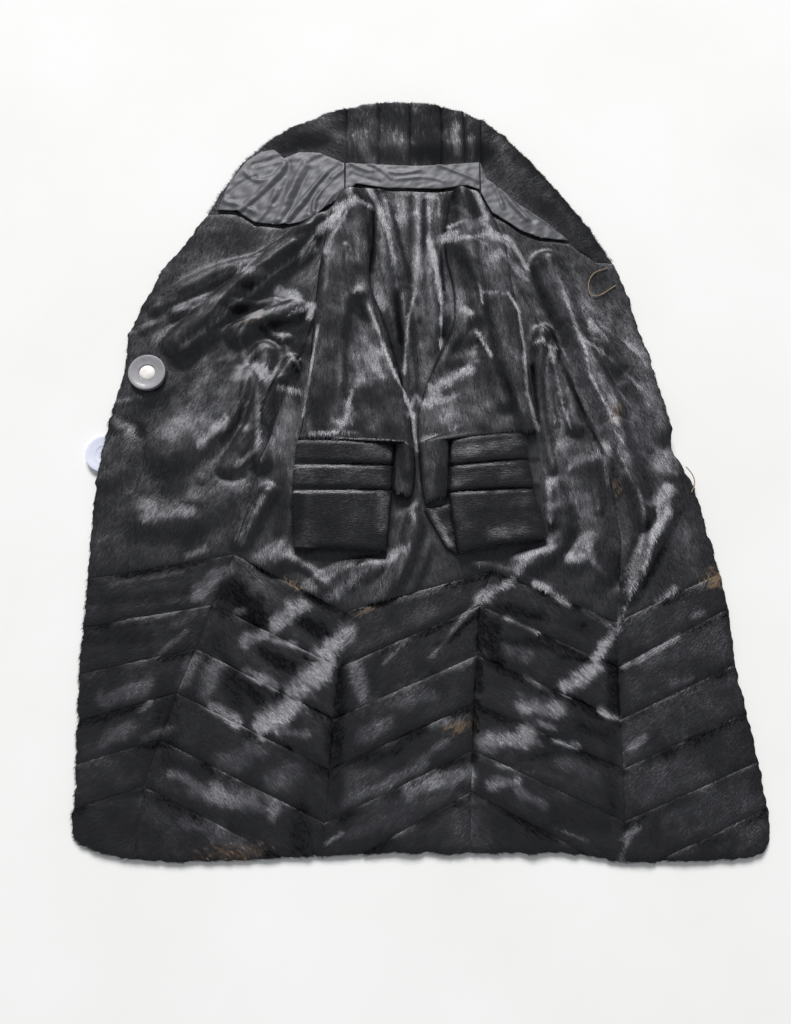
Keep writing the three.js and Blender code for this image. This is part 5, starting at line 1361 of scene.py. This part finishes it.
def free_of(plans, margin, x, y):
    """Which points no plan covers, but for a margin along its edge."""
    return ~np.any([inside(inset(plan, margin), x, y) for plan in plans], axis=0)


def lying_hairs(root, normal, direction, random):
    """Five points to a hair: two at its root, two halfway and its tip."""
    count = len(root)
    side = np.cross(normal, direction)
    size = HAIR_LENGTH * random.uniform(0.6, 1.2, count)[:, None]
    lift = random.uniform(0.2, 0.8, count)[:, None]
    wide = HAIR_WIDTH * random.uniform(0.6, 1.25, count)[:, None] / 2
    start = root - normal * HAIR_SUNK
    middle = root + direction * (0.45 * size) + normal * (0.7 * lift + 0.3)
    tip = root + direction * size + normal * lift \
        + side * random.normal(0, HAIR_STRAY, count)[:, None]
    strands = np.stack([start - side * wide, start + side * wide, middle + side * wide,
                        middle - side * wide, tip], axis=1)
    strands[:, :, 2] = np.maximum(strands[:, :, 2], LOWEST_HAIR)
    return strands


def grown_hairs(source, slot, random, covered):
    """The hairs of one pelt, with the shading normal and the colour of each."""
    root, normal = hairs_on(source, random)
    x, y = root[:, 0], root[:, 1]
    keep = random.random(len(root)) > WORN_BARE * worn_at(x, y)
    if covered:
        keep &= free_of(COVERED, 4, x, y)
    if slot == "collar_fur":
        keep &= free_of(SATINS.values(), 2, x, y)
    root, normal = root[keep], normal[keep]
    x, y, z = root.T
    count = len(root)
    nap = np.array(source["nap"], float)
    nap /= np.linalg.norm(nap)
    across, along = brushed(x, y)
    sheen = sheen_at(x, y, z, nap, source["shadowing_seam"])
    tuft = 0.5 * ripple(x * nap[0] + y * nap[1], 4.0 * (x * -nap[1] + y * nap[0]), 12, 41)
    turn = 0.8 * across + 0.10 * tuft + random.normal(0, HAIR_SPREAD, count)
    direction = np.column_stack([nap[0] * np.cos(turn) - nap[1] * np.sin(turn),
                                 nap[0] * np.sin(turn) + nap[1] * np.cos(turn), np.zeros(count)])
    direction -= normal * np.sum(direction * normal, axis=1)[:, None]
    direction /= np.maximum(np.linalg.norm(direction, axis=1), 1e-6)[:, None]
    strands = lying_hairs(root, normal, direction, random)
    if slot in ("skirt_fur", "collar_fur"):
        normal = normal * (FLAT_PILE_SHADING, FLAT_PILE_SHADING, 1)
    lean_along = LEAN_ALONG * along + 0.08 * tuft + random.normal(0, 0.03, count)
    lean_across = LEAN_ACROSS * across + random.normal(0, 0.04, count)
    tilted = brushed_normals(root, normal, sheen, lean_along, lean_across, nap)
    # Painted highlight and painted shade: hairs where the strokes shine take the lighter greys, hairs in
    # painted shade the darkest.
    shade = 0.15 * tuft + 1.25 * sheen + random.normal(0, 0.18, count)
    colours = np.select([shade > 1.0, shade > 0.5, shade > -0.1, shade > -0.6],
                        [PAINTED_HIGHLIGHT, PAINTED_HALF_LIGHT, SOOT, BLACK], SHADED if slot == "skirt_fur" else BLACK)
    colours[random.random(count) < WORN_TAN * worn_at(x, y)] = TAN
    return strands, tilted, colours


def hair_mesh(name, strands, normals, colours):
    """Each hair is a four-sided face and a three-sided tip on its five points."""
    count = len(strands)
    mesh = bpy.data.meshes.new(name)
    mesh.vertices.add(5 * count)
    mesh.vertices.foreach_set("co", metres(strands.reshape(-1, 3)).astype(np.float32).ravel())
    mesh.loops.add(7 * count)
    corners = 5 * np.arange(count)[:, None] + np.array([1, 0, 3, 2, 2, 3, 4])
    mesh.loops.foreach_set("vertex_index", corners.astype(np.int32).ravel())
    mesh.polygons.add(2 * count)
    starts = 7 * np.arange(count)[:, None] + np.array([0, 4])
    mesh.polygons.foreach_set("loop_start", starts.astype(np.int32).ravel())
    for hair in HAIRS:
        mesh.materials.append(hair)
    mesh.update(calc_edges=True)
    mesh.polygons.foreach_set("material_index", np.repeat(colours, 2).astype(np.int32))
    mesh.polygons.foreach_set("use_smooth", [True] * (2 * count))
    mesh.normals_split_custom_set_from_vertices(np.repeat(normals, 5, axis=0).tolist())
    return mesh


def pile(name, nodes, slot, seed, covered=True):
    """All the hairs of some pelts, as one piece. covered pelts grow none where others lie on them."""
    grown = [grown_hairs(pieces[node_name], slot, np.random.default_rng(seed + k), covered)
             for k, node_name in enumerate(nodes)]
    piece = add_piece(name, hair_mesh(name, *map(np.concatenate, zip(*grown))))
    pieces[nodes[0]]["with"].append(piece)


def named(start):
    return [name for name in pieces if name.startswith(start)]


for name in BODY_PLANS:
    pile(f"pile_{name}", [name], "fur", 100 + len(name))
for c, column in enumerate(SKIRT_COLUMNS):
    pile(f"pile_skirt_{column}", named(f"skirt_{column}_"), "skirt_fur", 200 + 10 * c)
pile("pile_collar", named("collar_"), "collar_fur", 300)
for side in ("left", "right"):
    pile(f"pile_sleeve_{side}", [f"sleeve_{side}"], "fur", 330, covered=False)
    pile(f"pile_cuff_{side}", named(f"cuff_{side}_"), "cuff_fur", 350, covered=False)


# Buttons: the rim's steps from its edge inwards, each an inset in shares of the radius and a move up
# in shares of the thickness
RIM_STEPS = [(0.09, 0), (0.12, -0.10), (0.18, -0.26), (0.14, 0.05), (0.02, -0.28)]


def made_piece(name):
    piece = bpy.context.object
    piece.name = name
    bpy.ops.object.transform_apply(location=True, rotation=True, scale=True)
    return piece


def button(side, spot, ring_finish, pearl_finish, dish):
    """A turned rim with a raised lip and a dished middle, and a pearl set in it."""
    x, y, under = (spot[0] + DRAWING_SHIFT[0]) * MM, (spot[1] + DRAWING_SHIFT[1]) * MM, spot[2] * MM
    radius, thick = BUTTON_RADIUS * MM, BUTTON_THICK * MM
    bpy.ops.object.select_all(action="DESELECT")
    bpy.ops.mesh.primitive_cylinder_add(vertices=96, radius=radius, depth=thick * 0.98,
                                        location=(x, y, under + thick * 0.49))
    rim = made_piece(f"button_{side}_ring")
    bpy.ops.object.mode_set(mode="EDIT")
    bpy.ops.mesh.select_mode(type="FACE")
    bpy.ops.mesh.select_all(action="DESELECT")
    bpy.ops.object.mode_set(mode="OBJECT")
    for face in rim.data.polygons:
        face.select = face.normal.z > 0.9
    bpy.ops.object.mode_set(mode="EDIT")
    for inwards, upwards in RIM_STEPS:
        bpy.ops.mesh.inset(thickness=radius * inwards)
        bpy.ops.transform.translate(value=(0, 0, thick * upwards * dish))
    bpy.ops.object.mode_set(mode="OBJECT")
    bevel = rim.modifiers.new("soft edges", "BEVEL")
    bevel.width = 0.0007
    bevel.segments = 3
    bevel.limit_method = "ANGLE"
    bevel.angle_limit = math.radians(25)
    bpy.ops.object.modifier_apply(modifier=bevel.name)
    bpy.ops.object.shade_smooth()
    rim.data.materials.append(ring_finish)

    bpy.ops.object.select_all(action="DESELECT")
    bpy.ops.mesh.primitive_uv_sphere_add(segments=64, ring_count=32, radius=radius * 0.435,
                                         location=(x, y, under + thick * 0.42))
    bpy.ops.transform.resize(value=(1, 1, 0.34))
    pearl = made_piece(f"button_{side}_centre")
    bpy.ops.object.mode_set(mode="EDIT")
    bpy.ops.mesh.select_all(action="SELECT")
    bpy.ops.mesh.bisect(plane_co=(x, y, under + thick * 0.40), plane_no=(0, 0, 1), clear_inner=True,
                        use_fill=True)
    bpy.ops.object.mode_set(mode="OBJECT")
    bpy.ops.object.shade_smooth_by_angle(angle=math.radians(50))
    pearl.data.materials.append(pearl_finish)
    for piece, part in ((rim, "rim"), (pearl, "pearl")):
        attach(piece, "root")
        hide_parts(f"button_{side}_{part}")


button("upper", UPPER_BUTTON, rim_plastic, pearl_plastic, dish=0.8)
button("lower", LOWER_BUTTON, back_plastic, back_plastic, dish=0.3)


# Thread loops: two plies twisted round each other, sewn down at both ends
TURNS_PER_MM = 0.16
PLY_RADIUS = 0.58
PLY_APART = 0.5


def thread_loop(name, corners):
    control = past_ends(np.array(corners, float))
    line = [between(*control[i - 1:i + 3], t) for i in range(1, len(control) - 2) for t in np.arange(10) / 10]
    line = np.array(line + [control[-2]])
    run = np.concatenate([[0], np.cumsum(np.linalg.norm(np.diff(line, axis=0), axis=1))])
    along = np.gradient(line, axis=0)
    along /= np.linalg.norm(along, axis=1)[:, None]
    across = np.column_stack([-along[:, 1], along[:, 0], np.zeros(len(line))])
    up = np.array([0, 0, 1.0])
    ends = np.minimum(run, run[-1] - run)
    height = SLEEVE_FLOOR + THREAD_RADIUS + 0.1 - 0.9 * (1 - np.clip(ends / 5, 0, 1))
    points, faces = [], []
    sides = 8
    for ply in (0, 1):
        phase = 2 * np.pi * run * TURNS_PER_MM + math.pi * ply
        centre = np.column_stack([line, height]) + PLY_APART * (np.cos(phase)[:, None] * across
                                                                + np.sin(phase)[:, None] * up)
        base = len(points)
        for i in range(len(line)):
            for k in range(sides):
                t = 2 * math.pi * k / sides
                points.append(centre[i] + PLY_RADIUS * (math.cos(t) * across[i] + math.sin(t) * up))
        for i in range(len(line) - 1):
            for k in range(sides):
                n = (k + 1) % sides
                faces.append((base + i * sides + k, base + i * sides + n,
                              base + (i + 1) * sides + n, base + (i + 1) * sides + k))
        faces.append(tuple(base + k for k in reversed(range(sides))))
        faces.append(tuple(base + (len(line) - 1) * sides + k for k in range(sides)))
    piece = new_piece(f"{name}_thread", points, faces, thread)
    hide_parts(name)


thread_loop("button_loop_upper", UPPER_LOOP)
thread_loop("button_loop_lower", LOWER_LOOP)


# Floor, light and camera
def floor_finish():
    material, surface = fresh_material("pale_floor")
    cloud = clouds(material, Scale=3.0, Detail=5.0, Roughness=0.55)
    link(material, mixed(material, spread(material, cloud, 0.3, 0.75, 0, 1),
                         (0.86, 0.855, 0.84, 1), (0.82, 0.812, 0.79, 1)), surface.inputs["Base Color"])
    set_values(surface, {"Roughness": 0.75, "Specular IOR Level": 0.2})
    return material


bpy.ops.object.select_all(action="DESELECT")
bpy.ops.mesh.primitive_plane_add(size=FLOOR_SIZE, location=(0, 0, -FLOOR_BELOW))
floor = bpy.context.object
floor.name = "floor"
floor.data.materials.append(floor_finish())

world = bpy.data.worlds.new("studio")
world.use_nodes = True
set_values(world.node_tree.nodes["Background"], {"Color": (0.93, 0.96, 1.0, 1), "Strength": SKY_STRENGTH})
bpy.context.scene.world = world

window = bpy.data.lights.new("window", "AREA")
window.shape = "RECTANGLE"
window.size, window.size_y = WINDOW_SIZE
window.energy = WINDOW_POWER
window_object = bpy.data.objects.new("window", window)
bpy.context.scene.collection.objects.link(window_object)
window_object.location = WINDOW_PLACE
window_object.rotation_euler = (-Vector(WINDOW_PLACE)).to_track_quat("-Z", "Y").to_euler()

camera = bpy.data.cameras.new("camera")
camera.sensor_width = SENSOR
camera.lens = SENSOR * FOCAL_PIXELS / PICTURE_HEIGHT
camera_object = bpy.data.objects.new("camera", camera)
camera_object.location = CAMERA_PLACE
camera_object.rotation_euler = (CAMERA_TILT, 0, 0)
bpy.context.scene.collection.objects.link(camera_object)
bpy.context.scene.camera = camera_object
bpy.context.scene.view_settings.view_transform = "Standard"
bpy.context.scene.view_settings.look = "None"
